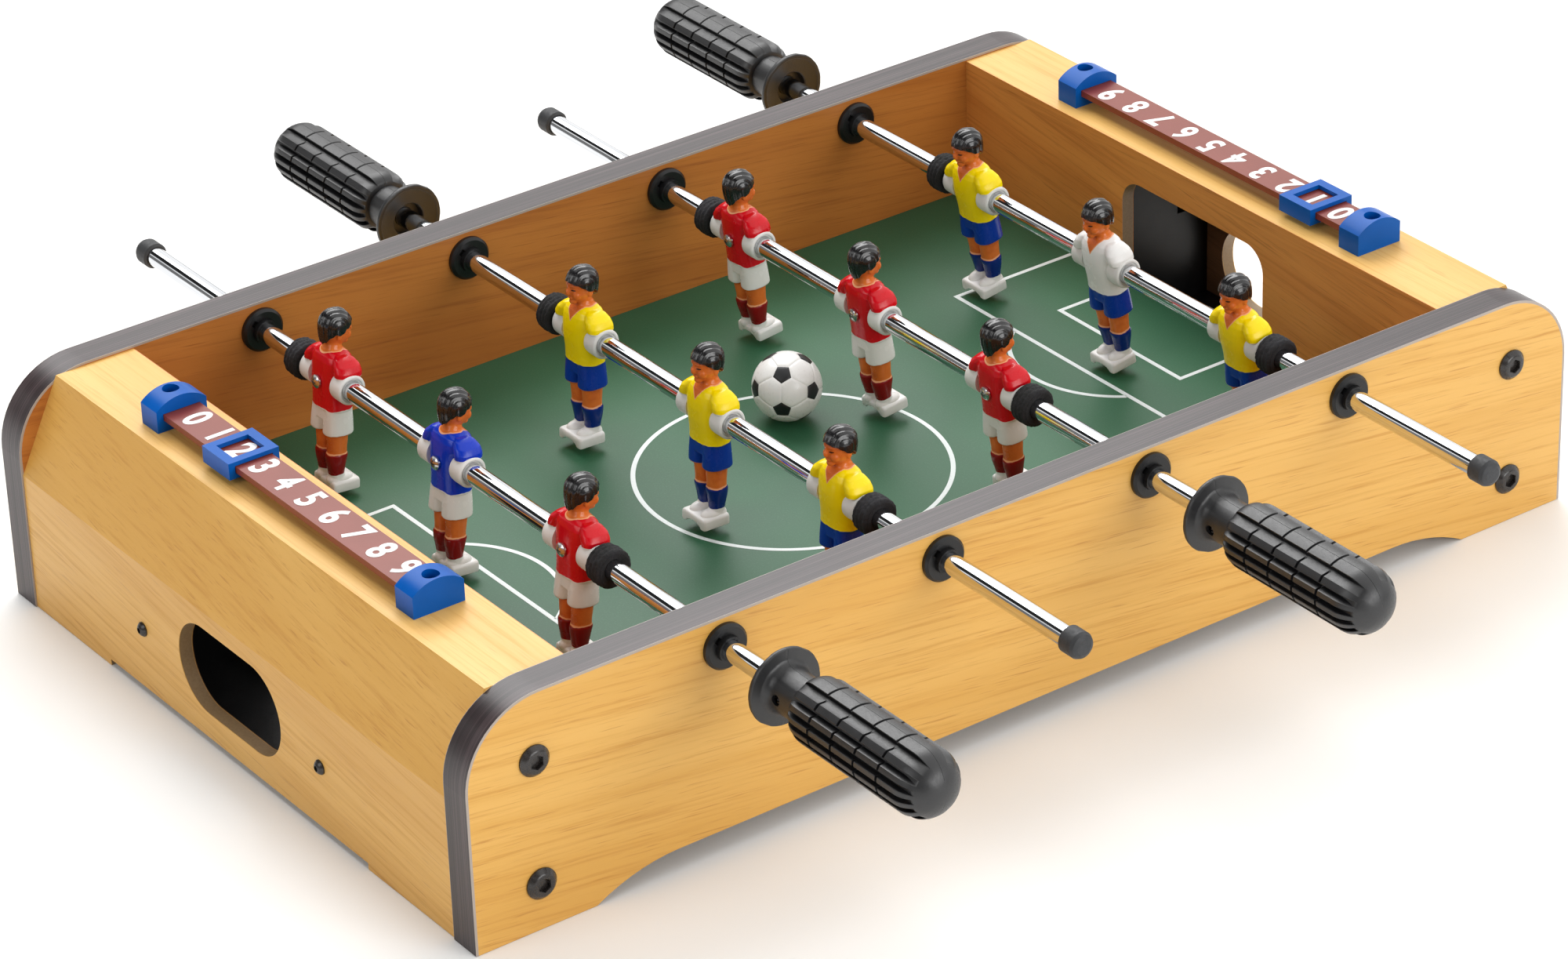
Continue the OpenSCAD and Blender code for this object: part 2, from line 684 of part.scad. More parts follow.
figure(3, 1);  // figure_4_far
ball();
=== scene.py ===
# Tabletop foosball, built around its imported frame.
import json
import math
import bmesh
import bpy
from mathutils import Matrix, Vector, noise


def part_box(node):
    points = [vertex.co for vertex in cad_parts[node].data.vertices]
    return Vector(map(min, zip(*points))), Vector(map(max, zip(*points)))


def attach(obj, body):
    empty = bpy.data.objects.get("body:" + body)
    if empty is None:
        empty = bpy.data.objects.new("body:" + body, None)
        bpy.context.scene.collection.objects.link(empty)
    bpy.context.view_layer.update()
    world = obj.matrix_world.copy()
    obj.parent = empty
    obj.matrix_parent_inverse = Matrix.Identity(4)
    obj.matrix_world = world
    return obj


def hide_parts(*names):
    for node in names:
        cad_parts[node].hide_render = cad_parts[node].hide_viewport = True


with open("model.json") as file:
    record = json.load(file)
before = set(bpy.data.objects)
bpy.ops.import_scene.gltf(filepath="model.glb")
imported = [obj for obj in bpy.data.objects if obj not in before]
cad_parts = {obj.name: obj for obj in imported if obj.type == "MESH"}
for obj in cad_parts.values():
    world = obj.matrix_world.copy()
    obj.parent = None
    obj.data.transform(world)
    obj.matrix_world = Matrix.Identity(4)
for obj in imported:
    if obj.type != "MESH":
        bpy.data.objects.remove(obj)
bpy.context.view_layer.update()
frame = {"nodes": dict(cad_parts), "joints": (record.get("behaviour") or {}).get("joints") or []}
mm = 0.001
hairline = 1e-4  # how softly one printed or painted area gives way to the next, in metres
rodNumbers = (1, 2, 3, 4)
places = {"near": -1, "middle": 0, "far": 1}


# small helpers for colours, nodes and meshes

def paint(code):
    # a hex colour turned into the linear values that a shader takes
    parts = [int(code[i:i + 2], 16) / 255 for i in (1, 3, 5)]
    return [c / 12.92 if c <= 0.04045 else ((c + 0.055) / 1.055) ** 2.4 for c in parts] + [1.0]


def startFinish(name, **values):
    finish = bpy.data.materials.new(name)
    finish.use_nodes = True
    tree = finish.node_tree
    shader = tree.nodes["Principled BSDF"]
    sockets = {"rough": "Roughness", "metal": "Metallic", "coat": "Coat Weight",
               "coatRough": "Coat Roughness", "spec": "Specular IOR Level"}
    for word, value in values.items():
        shader.inputs[sockets[word]].default_value = value
    return finish, tree, shader


def add(tree, kind, feeds=None, **settings):
    made = tree.nodes.new(kind)
    for word, value in settings.items():
        setattr(made, word, value)
    for word, value in (feeds or {}).items():
        if isinstance(value, bpy.types.NodeSocket):
            tree.links.new(value, made.inputs[word])
        else:
            made.inputs[word].default_value = value
    return made


def work(tree, sort, a, b=0.0, c=0.0):
    return add(tree, "ShaderNodeMath", {0: a, 1: b, 2: c}, operation=sort).outputs[0]


def fade(tree, value, low, high, toLow=0.0, toHigh=1.0):
    return add(tree, "ShaderNodeMapRange", {0: value, 1: low, 2: high, 3: toLow, 4: toHigh},
               interpolation_type="SMOOTHSTEP").outputs[0]


def blendColour(tree, share, a, b):
    made = add(tree, "ShaderNodeMix", {0: share}, data_type="RGBA")
    for place, value in ((6, a), (7, b)):
        if isinstance(value, bpy.types.NodeSocket):
            tree.links.new(value, made.inputs[place])
        else:
            made.inputs[place].default_value = value
    return made.outputs[2]


def ownSpace(tree):
    # where a point is on the piece itself, and the same as three numbers
    spot = add(tree, "ShaderNodeTexCoord").outputs["Object"]
    return spot, add(tree, "ShaderNodeSeparateXYZ", {0: spot}).outputs


def streaks(tree, spot, stretch, detail=4.0, rough=0.6, bend=0.0):
    laid = add(tree, "ShaderNodeMapping", {"Vector": spot, "Scale": stretch}).outputs[0]
    return add(tree, "ShaderNodeTexNoise", {"Vector": laid, "Scale": 1.0, "Detail": detail,
               "Roughness": rough, "Distortion": bend}).outputs[0]


def relief(tree, shader, height, depth, strength=1.0):
    lift = add(tree, "ShaderNodeBump", {"Height": height, "Distance": depth, "Strength": strength})
    tree.links.new(lift.outputs[0], shader.inputs["Normal"])


def colourOf(tree, shader, colour):
    tree.links.new(colour, shader.inputs["Base Color"])


def makePiece(name, points, faces, finishes, place=None, faceFinish=None, crease=38):
    mesh = bpy.data.meshes.new(name)
    mesh.from_pydata([tuple(c * mm for c in p) for p in points], [], faces)
    for finish in finishes:
        mesh.materials.append(finish)
    if faceFinish:
        mesh.polygons.foreach_set("material_index", faceFinish)
    edit = bmesh.new()
    edit.from_mesh(mesh)
    bmesh.ops.remove_doubles(edit, verts=edit.verts, dist=1e-6)
    bmesh.ops.recalc_face_normals(edit, faces=edit.faces)
    edit.to_mesh(mesh)
    edit.free()
    mesh.shade_smooth()
    mesh.set_sharp_from_angle(angle=math.radians(crease))
    piece = bpy.data.objects.new(name, mesh)
    bpy.context.scene.collection.objects.link(piece)
    if place is not None:
        piece.matrix_world = place
    return piece


def fit(piece, body, slot, *nodes):
    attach(piece, body)
    if nodes:
        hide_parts(*nodes)
    return piece


class Shape:
    # points and faces gathered from several closed forms, with a finish number for each face
    def __init__(self):
        self.points, self.faces, self.kinds = [], [], []

    def take(self, points, faces, kind=0):
        start = len(self.points)
        self.points += [tuple(p) for p in points]
        self.faces += [tuple(start + k for k in face) for face in faces]
        self.kinds += [kind] * len(faces)

    def rings(self, rings, kind=0, closed=False, ends=True):
        # each ring is a closed loop of points; closed joins the last ring to the first
        count, points, faces = len(rings[0]), [p for ring in rings for p in ring], []
        for r in range(len(rings) if closed else len(rings) - 1):
            a, b = r * count, ((r + 1) % len(rings)) * count
            faces += [(a + k, a + (k + 1) % count, b + (k + 1) % count, b + k) for k in range(count)]
        if ends and not closed:
            last = (len(rings) - 1) * count
            faces += [tuple(range(count)), tuple(last + k for k in range(count))]
        self.take(points, faces, kind)

    def turned(self, profile, kind=0, closed=False, steps=64):
        # a profile of (radius, y) turned about the Y axis
        angles = [math.tau * k / steps for k in range(steps)]
        rings = [[(r * math.cos(a), y, r * math.sin(a)) for a in angles] for r, y in profile]
        self.rings(rings, kind, closed)

    def blob(self, centre, radii, kind=0, steps=24):
        rings = []
        for v in range(1, steps // 2):
            tilt = math.pi * v / (steps // 2)
            rings.append([(centre[0] + radii[0] * math.sin(tilt) * math.cos(math.tau * k / steps),
                           centre[1] + radii[1] * math.sin(tilt) * math.sin(math.tau * k / steps),
                           centre[2] + radii[2] * math.cos(tilt)) for k in range(steps)])
        self.rings(rings, kind)

    def limb(self, levels, kind=0, steps=28, square=2.3):
        # levels of (z, back x, front x, middle y, half width), each a softly squared oval
        def squared(share):
            return math.copysign(abs(share) ** (2 / square), share)
        rings = []
        for z, back, front, y, half in levels:
            ring = []
            for k in range(steps):
                a = math.tau * k / steps
                x = (back + front) / 2 + (front - back) / 2 * squared(math.cos(a))
                ring.append((x, y + half * squared(math.sin(a)), z))
            rings.append(ring)
        self.rings(rings, kind)


def settledMesh(thing):
    # the mesh that a piece has once its modifiers have worked
    bpy.context.view_layer.update()
    graph = bpy.context.evaluated_depsgraph_get()
    return bpy.data.meshes.new_from_object(thing.evaluated_get(graph))


def shrinkToSkin(shape, grain, passes, keep):
    # melts overlapping forms into one moulded skin, worked at one unit to a millimetre
    mesh = bpy.data.meshes.new("melt")
    mesh.from_pydata(shape.points, [], shape.faces)
    edit = bmesh.new()
    edit.from_mesh(mesh)
    bmesh.ops.recalc_face_normals(edit, faces=edit.faces)
    edit.to_mesh(mesh)
    edit.free()
    lump = bpy.data.objects.new("melt", mesh)
    bpy.context.scene.collection.objects.link(lump)
    voxels = lump.modifiers.new("voxels", "REMESH")
    voxels.mode, voxels.voxel_size = "VOXEL", grain
    calm = lump.modifiers.new("calm", "SMOOTH")
    calm.factor, calm.iterations = 0.5, passes
    thin = lump.modifiers.new("thin", "DECIMATE")
    thin.ratio = keep
    skin = settledMesh(lump)
    points = [tuple(v.co) for v in skin.vertices]
    faces = [tuple(p.vertices) for p in skin.polygons]
    bpy.data.objects.remove(lump)
    bpy.data.meshes.remove(skin)
    return points, faces


# camera, floor and light

cameraStand = {"at": (-1.0896, -1.5333, 1.0807), "right": (0.8057, -0.5915, -0.0302),
               "up": (0.3101, 0.3778, 0.8724), "lens": 127.53, "sensor": 36.0}
studio = {
    "floor": "#F8F8F7", "floorCloud": "#F7F7F6", "floorHalf": 9, "floorDrop": 0.0002,
    "skyTint": (1.0, 0.995, 0.985, 1), "skyBright": 1.22, "skyDim": 0.20, "skyFlag": 0.02, "skyBar": 0.85,
    # the sky changes along this direction, at these shares of it
    "lean": (0.62, 0.10, 0.78), "brightAt": (0.42, 0.60), "dimAt": (0.20, -0.05),
    "barTop": (0.12, 0.08), "barFoot": (-0.04, 0.0),
    "lamps": {
        "softboxBack": {"at": (0.5, 1.5, 1.9), "size": (2.2, 1.4), "power": 44.0},
        "softboxLeft": {"at": (-1.9, -0.1, 1.3), "size": (1.2, 1.2), "power": 9.0},
        "fillFront": {"at": (0.35, -2.3, 0.9), "size": (1.6, 1.0), "power": 25.0},
    },
}


def setCamera(stand):
    right = Vector(stand["right"]).normalized()
    up = Vector(stand["up"])
    back = right.cross(up).normalized()
    up = back.cross(right)
    lensData = bpy.data.cameras.new("camera")
    lensData.lens, lensData.sensor_width = stand["lens"], stand["sensor"]
    lensData.clip_start, lensData.clip_end = 0.05, 50
    camera = bpy.data.objects.new("camera", lensData)
    bpy.context.scene.collection.objects.link(camera)
    turn = Matrix((right, up, back)).transposed().to_4x4()
    camera.matrix_world = Matrix.Translation(stand["at"]) @ turn
    bpy.context.scene.camera = camera


def softLight(name, at, size, power, aim=(0, 0, 0.05)):
    data = bpy.data.lights.new(name, "AREA")
    data.shape, data.size, data.size_y, data.energy = "RECTANGLE", size[0], size[1], power
    lamp = bpy.data.objects.new(name, data)
    bpy.context.scene.collection.objects.link(lamp)
    lamp.location = at
    lamp.rotation_euler = (Vector(aim) - Vector(at)).to_track_quat("-Z", "Y").to_euler()


def setStudio(look):
    finish, tree, shader = startFinish("studioFloor", rough=0.9, spec=0.1)
    spot, _ = ownSpace(tree)
    cloud = streaks(tree, spot, (2, 2, 2), 2.0)
    colourOf(tree, shader, blendColour(tree, cloud, paint(look["floor"]), paint(look["floorCloud"])))
    mesh = bpy.data.meshes.new("studio_floor")
    half = look["floorHalf"]
    corners = [(-half, -half, 0), (half, -half, 0), (half, half, 0), (-half, half, 0)]
    mesh.from_pydata(corners, [], [(0, 1, 2, 3)])
    mesh.materials.append(finish)
    floor = bpy.data.objects.new("studio_floor", mesh)
    bpy.context.scene.collection.objects.link(floor)
    floor.location.z = -look["floorDrop"]
    for name, lamp in look["lamps"].items():
        softLight(name, **lamp)
    sky = bpy.data.worlds.new("studioSky")
    sky.use_nodes = True
    tree = sky.node_tree
    toward = add(tree, "ShaderNodeTexCoord").outputs["Generated"]
    # bright to the right and overhead, a narrow dark flag, then dim again down the left
    along = add(tree, "ShaderNodeVectorMath", {0: toward, 1: look["lean"]}, operation="DOT_PRODUCT")
    lean = along.outputs["Value"]
    bright = fade(tree, lean, *look["brightAt"], look["skyFlag"], look["skyBright"])
    dim = fade(tree, lean, *look["dimAt"], 0.0, look["skyDim"] - look["skyFlag"])
    # a thin light bar beside the flag draws the second white line on the tubes
    bar = work(tree, "MULTIPLY", fade(tree, lean, *look["barTop"]),
               fade(tree, lean, *look["barFoot"], 0.0, look["skyBar"]))
    strength = work(tree, "ADD", work(tree, "ADD", bright, dim), bar)
    tree.links.new(strength, tree.nodes["Background"].inputs["Strength"])
    tree.nodes["Background"].inputs["Color"].default_value = look["skyTint"]
    bpy.context.scene.world = sky
    bpy.context.scene.view_settings.view_transform = "Standard"
    bpy.context.scene.view_settings.look = "None"


setCamera(cameraStand)
setStudio(studio)
print("camera and studio ready")


# finishes of the cabinet

laminateLooks = {
    "golden": {"light": "#E1AF5C", "mid": "#D8A34E", "dark": "#C88F3C", "pore": "#B67A32"},
    # pale: painted highlight, a lighter copy of the laminate for the tops of the boards, as if lit from above
    "pale": {"light": "#E9BA6A", "mid": "#E2B05E", "dark": "#D8A14E", "pore": "#C98E40"},
    # shaded: painted shade, a darker copy of the laminate for faces turned into the cabinet
    "shaded": {"light": "#BE7733", "mid": "#B16A2A", "dark": "#9E5A22", "pore": "#8A4A1B"},
    # wall: painted shade, a darker and redder copy of the laminate for the goal walls and the top boards'
    # inner edges
    "wall": {"light": "#E09346", "mid": "#D2843B", "dark": "#BA7030", "pore": "#A25D27"},
    # painted deep shade: the darkest copy of the laminate, for the end boards' inner faces as if unlit
    "paintedDeepShade": {"light": "#6B4A30", "mid": "#5E4029", "dark": "#4F3522", "pore": "#3F2A1B"},
    "fibre": "#A58862", "fibreDark": "#82684A", "rough": 0.40, "tilt": 7.0,
    # how fast the print changes along the grain and across it, and each layer's share of that
    "lengthways": 5.0, "across": 210.0,
    "bars": (0.5, 0.24), "fine": (2.6, 2.4), "hair": (9.0, 7.0),
}


def woodTone(tree, spot, tones, grain):
    # broad bars, fine streaks and short dark pores, all running along the grain
    def laid(layer):
        long, wide = laminateLooks[layer]
        stretch = [laminateLooks["across"] * wide] * 3
        stretch[grain] = laminateLooks["lengthways"] * long
        return stretch
    bars = streaks(tree, spot, laid("bars"), 3.0, 0.5, 0.35)
    fine = streaks(tree, spot, laid("fine"), 5.0, 0.62, 0.15)
    hair = streaks(tree, spot, laid("hair"), 2.0, 0.6)
    tone = blendColour(tree, fade(tree, bars, 0.36, 0.66), paint(tones["light"]), paint(tones["mid"]))
    tone = blendColour(tree, fade(tree, fine, 0.46, 0.76, 0.0, 0.8), tone, paint(tones["dark"]))
    tone = blendColour(tree, fade(tree, hair, 0.58, 0.76, 0.0, 0.6), tone, paint(tones["pore"]))
    return tone, fine, hair


def laminate(name, grain, faceTones="golden", shadedFace=None, core=None, tilted=True):
    # grain is the axis that the streaks follow; the argument after faceTones is (axis, limit, tones) of the
    # face turned
    #  to the middle of the cabinet, which takes a darker copy of the laminate as painted shade; core is
    #  (axis, low, high) of the raw board inside
    finish, tree, shader = startFinish(name, rough=laminateLooks["rough"], spec=0.42)
    spot, parts = ownSpace(tree)
    if tilted:
        # the printed grain runs a few degrees off the length of the board
        tilt = math.radians(laminateLooks["tilt"])
        turn = (0, -tilt, 0) if grain == 0 else (-tilt, 0, 0)
        spot = add(tree, "ShaderNodeMapping", {"Vector": spot, "Rotation": turn}).outputs[0]
    tone, fine, hair = woodTone(tree, spot, laminateLooks[faceTones], grain)
    # painted shade on the inner face: a darker copy of the laminate takes the place of the face tones
    if shadedFace:
        axis, limit, tones = shadedFace
        inner, _, _ = woodTone(tree, spot, laminateLooks[tones], grain)
        depth = work(tree, "ABSOLUTE", parts[axis])
        tone = blendColour(tree, fade(tree, depth, limit - hairline, limit + hairline), inner, tone)
    if core:
        axis, low, high = core
        depth = work(tree, "ABSOLUTE", parts[axis])
        inside = work(tree, "MULTIPLY", fade(tree, depth, low, low + hairline),
                      fade(tree, depth, high, high - hairline))
        speck = streaks(tree, spot, (900, 900, 900), 3.0)
        raw = blendColour(tree, speck, paint(laminateLooks["fibre"]), paint(laminateLooks["fibreDark"]))
        tone = blendColour(tree, inside, tone, raw)
    colourOf(tree, shader, tone)
    gloss = fade(tree, fine, 0.3, 0.8, laminateLooks["rough"] - 0.06, laminateLooks["rough"] + 0.1)
    tree.links.new(gloss, shader.inputs["Roughness"])
    relief(tree, shader, work(tree, "ADD", fine, hair), 0.00006, 0.5)
    return finish


def bandingFinish(outerFace, innerFace):
    look = {"dark": "#2A1F20", "streak": "#564749", "deep": "#1B1314", "pale": "#A99D94", "line": 0.00022}
    finish, tree, shader = startFinish("darkBanding", rough=0.36, spec=0.55)
    spot, parts = ownSpace(tree)
    lines = streaks(tree, spot, (5, 1500, 5), 4.0, 0.65)
    broad = streaks(tree, spot, (12, 260, 12), 3.0, 0.6)
    tone = blendColour(tree, fade(tree, lines, 0.42, 0.72), paint(look["dark"]), paint(look["streak"]))
    tone = blendColour(tree, fade(tree, broad, 0.35, 0.7, 0.0, 0.45), tone, paint(look["deep"]))
    depth = work(tree, "ABSOLUTE", parts[1])
    rim = work(tree, "MAXIMUM", fade(tree, depth, outerFace - look["line"], outerFace - look["line"] * 0.5),
               fade(tree, depth, innerFace + look["line"], innerFace + look["line"] * 0.5))
    tone = blendColour(tree, rim, tone, paint(look["pale"]))
    colourOf(tree, shader, tone)
    relief(tree, shader, lines, 0.00008, 0.6)
    return finish


def pitchFinish():
    look = {"green": "#23563A", "worn": "#2F6445", "speck": "#4E7C5E", "rough": 0.5}
    finish, tree, shader = startFinish("pitchGreen", rough=look["rough"], spec=0.42)
    spot, _ = ownSpace(tree)
    cloud = streaks(tree, spot, (9, 9, 9), 3.0)
    speck = streaks(tree, spot, (1500, 1500, 1500), 2.0)
    tone = blendColour(tree, fade(tree, cloud, 0.3, 0.7), paint(look["green"]), paint(look["worn"]))
    tone = blendColour(tree, fade(tree, speck, 0.5, 0.8, 0.0, 0.35), tone, paint(look["speck"]))
    colourOf(tree, shader, tone)
    tree.links.new(fade(tree, cloud, 0.3, 0.7, 0.42, 0.5), shader.inputs["Roughness"])
    relief(tree, shader, speck, 0.00003, 0.5)
    return finish


def moulded(name, code, shade, rough, speckle=1400, depth=0.00003, spec=0.5, coat=0.0, worn=0.12):
    # moulded plastic, rubber or paint: a little clouding of the colour, and a fine skin
    finish, tree, shader = startFinish(name, rough=rough, spec=spec, coat=coat)
    spot, _ = ownSpace(tree)
    cloud = streaks(tree, spot, (60, 60, 60), 3.0)
    skin = streaks(tree, spot, (speckle, speckle, speckle), 2.0)
    colourOf(tree, shader, blendColour(tree, fade(tree, cloud, 0.35, 0.7), paint(code), paint(shade)))
    tree.links.new(fade(tree, skin, 0.3, 0.75, rough - worn / 3, rough + worn), shader.inputs["Roughness"])
    relief(tree, shader, skin, depth, 0.6)
    return finish


def metalFinish(name, code, shade, rough, lengthways=(900, 12, 900), depth=0.00001, darkBeyond=None):
    finish, tree, shader = startFinish(name, rough=rough, metal=1.0)
    spot, parts = ownSpace(tree)
    drawn = streaks(tree, spot, lengthways, 3.0)
    dust = streaks(tree, spot, (240, 90, 240), 4.0)
    tone = blendColour(tree, fade(tree, drawn, 0.35, 0.75), paint(code), paint(shade))
    if darkBeyond:
        # the screws of the handles are blackened
        out = fade(tree, work(tree, "ABSOLUTE", parts[1]), darkBeyond, darkBeyond + 0.001)
        tone = blendColour(tree, out, tone, paint("#38383B"))
    colourOf(tree, shader, tone)
    tree.links.new(fade(tree, dust, 0.45, 0.8, rough, rough + 0.12), shader.inputs["Roughness"])
    relief(tree, shader, drawn, depth, 0.25)
    return finish


print("finishes ready")

panelLow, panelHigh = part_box("side_panel_far")
wallLow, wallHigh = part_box("goal_wall_right")
endLow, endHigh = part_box("end_board_right")
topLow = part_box("top_board_right")[0]
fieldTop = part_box("playfield")[1].z

# how deep the printed skins of the boards go before raw board shows, and how far in from the inner faces the
# painted shade reaches, in metres
skins = {"shadedFace": 0.0003, "sideInner": 0.0005, "sideOuter": 0.0003, "endInner": 0.0004, "thin": 0.0002}
# painted shade: the side panels' faces turned into the cabinet take the darker shaded tones
sideWood = laminate("sideLaminate", 0, "golden", (1, panelLow.y + skins["shadedFace"], "shaded"),
                    (1, panelLow.y + skins["sideInner"], panelHigh.y - skins["sideOuter"]))
# painted highlight: the top boards' faces take the lighter pale tones, as if lit from above; painted shade:
# their inner edges take the darker wall tones
topWood = laminate("topLaminate", 1, "pale", (0, topLow.x + skins["shadedFace"], "wall"), tilted=False)
slopeWood = laminate("slopeLaminate", 1)
# painted deep shade: the end boards' inner faces take the darkest tones, as if unlit
endWood = laminate("endLaminate", 1, "golden", (0, endLow.x + skins["shadedFace"], "paintedDeepShade"),
                   (0, endLow.x + skins["endInner"], endHigh.x - skins["thin"]))
# painted shade: the goal walls take the darker, redder wall copy of the laminate
wallWood = laminate("wallLaminate", 1, "wall",
                    core=(0, wallLow.x + skins["thin"], wallHigh.x - skins["thin"]))
banding = bandingFinish(panelHigh.y, panelLow.y)
pitchGreen = pitchFinish()
pineWood = laminate("pineBlock", 2)
trayBlack = moulded("trayBlack", "#0A0A0B", "#111112", 0.32, spec=0.3)
bushBlack = moulded("bushingBlack", "#0F0F10", "#161617", 0.34, spec=0.42)
capRubber = moulded("capRubber", "#2B2C2E", "#36373A", 0.55, 900, 0.00005)
boltBlack = moulded("boltBlack", "#211D1B", "#2A2523", 0.26, 900, 0.00002, 0.6, worn=0.06)
screwSteel = metalFinish("screwSteel", "#D8D8D6", "#B8B8B8", 0.2, (700, 700, 700), darkBeyond=0.19)
rodChrome = metalFinish("rodChrome", "#E4E6E9", "#CDD0D5", 0.05)
barBrown = moulded("barBrown", "#83392A", "#7E3526", 0.34, 1200, 0.000003, 0.4, worn=0.02)
capBlue = moulded("counterBlue", "#0058B0", "#0054A8", 0.32, 1200, 0.000002, 0.16, worn=0.02)
gripBlack = moulded("gripBlack", "#131315", "#19191B", 0.38, 2200, 0.00003, 0.7)
foamBlack = moulded("foamBlack", "#151515", "#26262A", 0.85, 1300, 0.00035)

nodeFinish = {
    sideWood: ("side_panel_near", "side_panel_far"), banding: ("edge_band_near", "edge_band_far"),
    topWood: ("top_board_left", "top_board_right"), slopeWood: ("slope_board_left", "slope_board_right"),
    endWood: ("end_board_left", "end_board_right"), wallWood: ("goal_wall_left", "goal_wall_right"),
    trayBlack: ("goal_tray_left", "goal_tray_right"), pitchGreen: ("playfield",),
    bushBlack: ("bushing_sleeves_near", "bushing_sleeves_far", "bushing_rings"),
    barBrown: ("score_bar_left", "score_bar_right"), pineWood: ("corner_blocks",),
    capBlue: ("score_caps_left", "score_caps_right", "score_marker_left", "score_marker_right"),
    boltBlack: ("wood_screws",), rodChrome: [f"rod_{i}" for i in rodNumbers],
    capRubber: [f"end_cap_{i}" for i in rodNumbers], screwSteel: [f"rod_screws_{i}" for i in rodNumbers],
}
for finish, names in nodeFinish.items():
    for name in names:
        node = frame["nodes"][name]
        node.data.materials.clear()
        node.data.materials.append(finish)

# edges of the boards and of the counters' frames, softened by so many millimetres
softEdges = {"top_board": 0.5, "slope_board": 0.35, "score_marker": 0.3}
edgeLook = {"segments": 2, "angle": 35}
for start, width in softEdges.items():
    for side in ("left", "right"):
        bevel = frame["nodes"][f"{start}_{side}"].modifiers.new("soft_edge", "BEVEL")
        bevel.width, bevel.segments, bevel.limit_method = width * mm, edgeLook["segments"], "ANGLE"
        bevel.angle_limit, bevel.use_clamp_overlap = math.radians(edgeLook["angle"]), False
print("cabinet dressed")


# cabinet bolts

boltLook = {
    "across": 226.7, "heights": (19.0, 69.3), "rim": 6.15, "tall": 2.5, "steps": 48,
    "foot": ((0.0, 0.15), (0.15, 0.0), (0.75, 0.0), (0.95, 0.2)),  # out from the panel, in from the rim
    "dome": ((0.45, 1.35), (0.12, 1.75), (0.0, 2.2)),  # down from the top, in from the rim
    "socket": 2.45, "deep": 1.8, "socketMouth": 1.06, "socketEdge": 0.2,
    "shank": 2.9, "shankLength": 24.0, "shankEdge": 0.5,
}


def turnBolts():
    look, shape = boltLook, Shape()
    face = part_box("side_panel_near")[0].y / mm
    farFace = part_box("side_panel_far")[1].y / mm
    angles = [math.tau * k / look["steps"] for k in range(look["steps"])]

    def roundRing(out, radius):
        return [(radius * math.cos(a), out, radius * math.sin(a)) for a in angles]

    def hexagon(a):
        return look["socket"] / math.cos((a + math.pi / 6) % (math.pi / 3) - math.pi / 6)

    def hexagonRing(out, scale=1.0):
        return [(hexagon(a) * math.cos(a) * scale, out, hexagon(a) * math.sin(a) * scale) for a in angles]
    shank, edge, tall, rim = look["shank"], look["shankEdge"], look["tall"], look["rim"]
    rings = [roundRing(-look["shankLength"], shank - edge), roundRing(-look["shankLength"] + edge, shank),
             roundRing(0.0, shank)]
    rings += [roundRing(out, rim - inset) for out, inset in look["foot"]]
    rings += [roundRing(tall - down, rim - inset) for down, inset in look["dome"]]
    rings += [hexagonRing(tall, look["socketMouth"]), hexagonRing(tall - look["socketEdge"]),
              hexagonRing(tall - look["deep"])]
    for side, plane in ((-1, face), (1, farFace)):
        for x in (-look["across"], look["across"]):
            for z in look["heights"]:
                shape.rings([[(x + px, plane + side * py, z + pz) for px, py, pz in ring] for ring in rings])
    piece = makePiece("bolts", shape.points, shape.faces, [boltBlack], crease=30)
    fit(piece, "cabinet", "black_steel", "cabinet_bolts")


turnBolts()
print("bolts turned")


# white lines of the pitch

pitchLines = {"width": 1.9, "thick": 0.1, "circle": (-1.0, -3.0, 62.0), "boxX": 137.0, "boxY": (-77.0, 71.5),
              "areaX": 162.0, "areaY": (-41.0, 35.0), "arc": (161.5, -3.0, 44.0), "arcOverlap": 0.9,
              "circleSteps": 160, "arcSteps": 24, "sink": 0.02, "wallGap": 0.1,
              "white": "#E4ECEB", "rubbed": "#9DB8A8"}


def stripe(shape, path, closed=False):
    half, level = pitchLines["width"] / 2, fieldTop / mm
    low, high = level - pitchLines["sink"], level + pitchLines["thick"]
    rings, count = [], len(path)

    def beyond(x, y, other):
        # where the path would go on to, past its end at x, y
        return 2 * x - other[0], 2 * y - other[1]
    for k, (x, y) in enumerate(path):
        before = path[k - 1] if closed or k else beyond(x, y, path[1])
        after = path[(k + 1) % count] if closed or k < count - 1 else beyond(x, y, path[k - 1])
        a = (Vector((x, y)) - Vector(before)).normalized()
        b = (Vector(after) - Vector((x, y))).normalized()
        side = Vector((-(a + b).y, (a + b).x)).normalized()
        side *= half / max(0.3, side.dot(Vector((-a.y, a.x))))
        rings.append([(x + side.x, y + side.y, low), (x + side.x, y + side.y, high),
                      (x - side.x, y - side.y, high), (x - side.x, y - side.y, low)])
    shape.rings(rings, closed=closed)


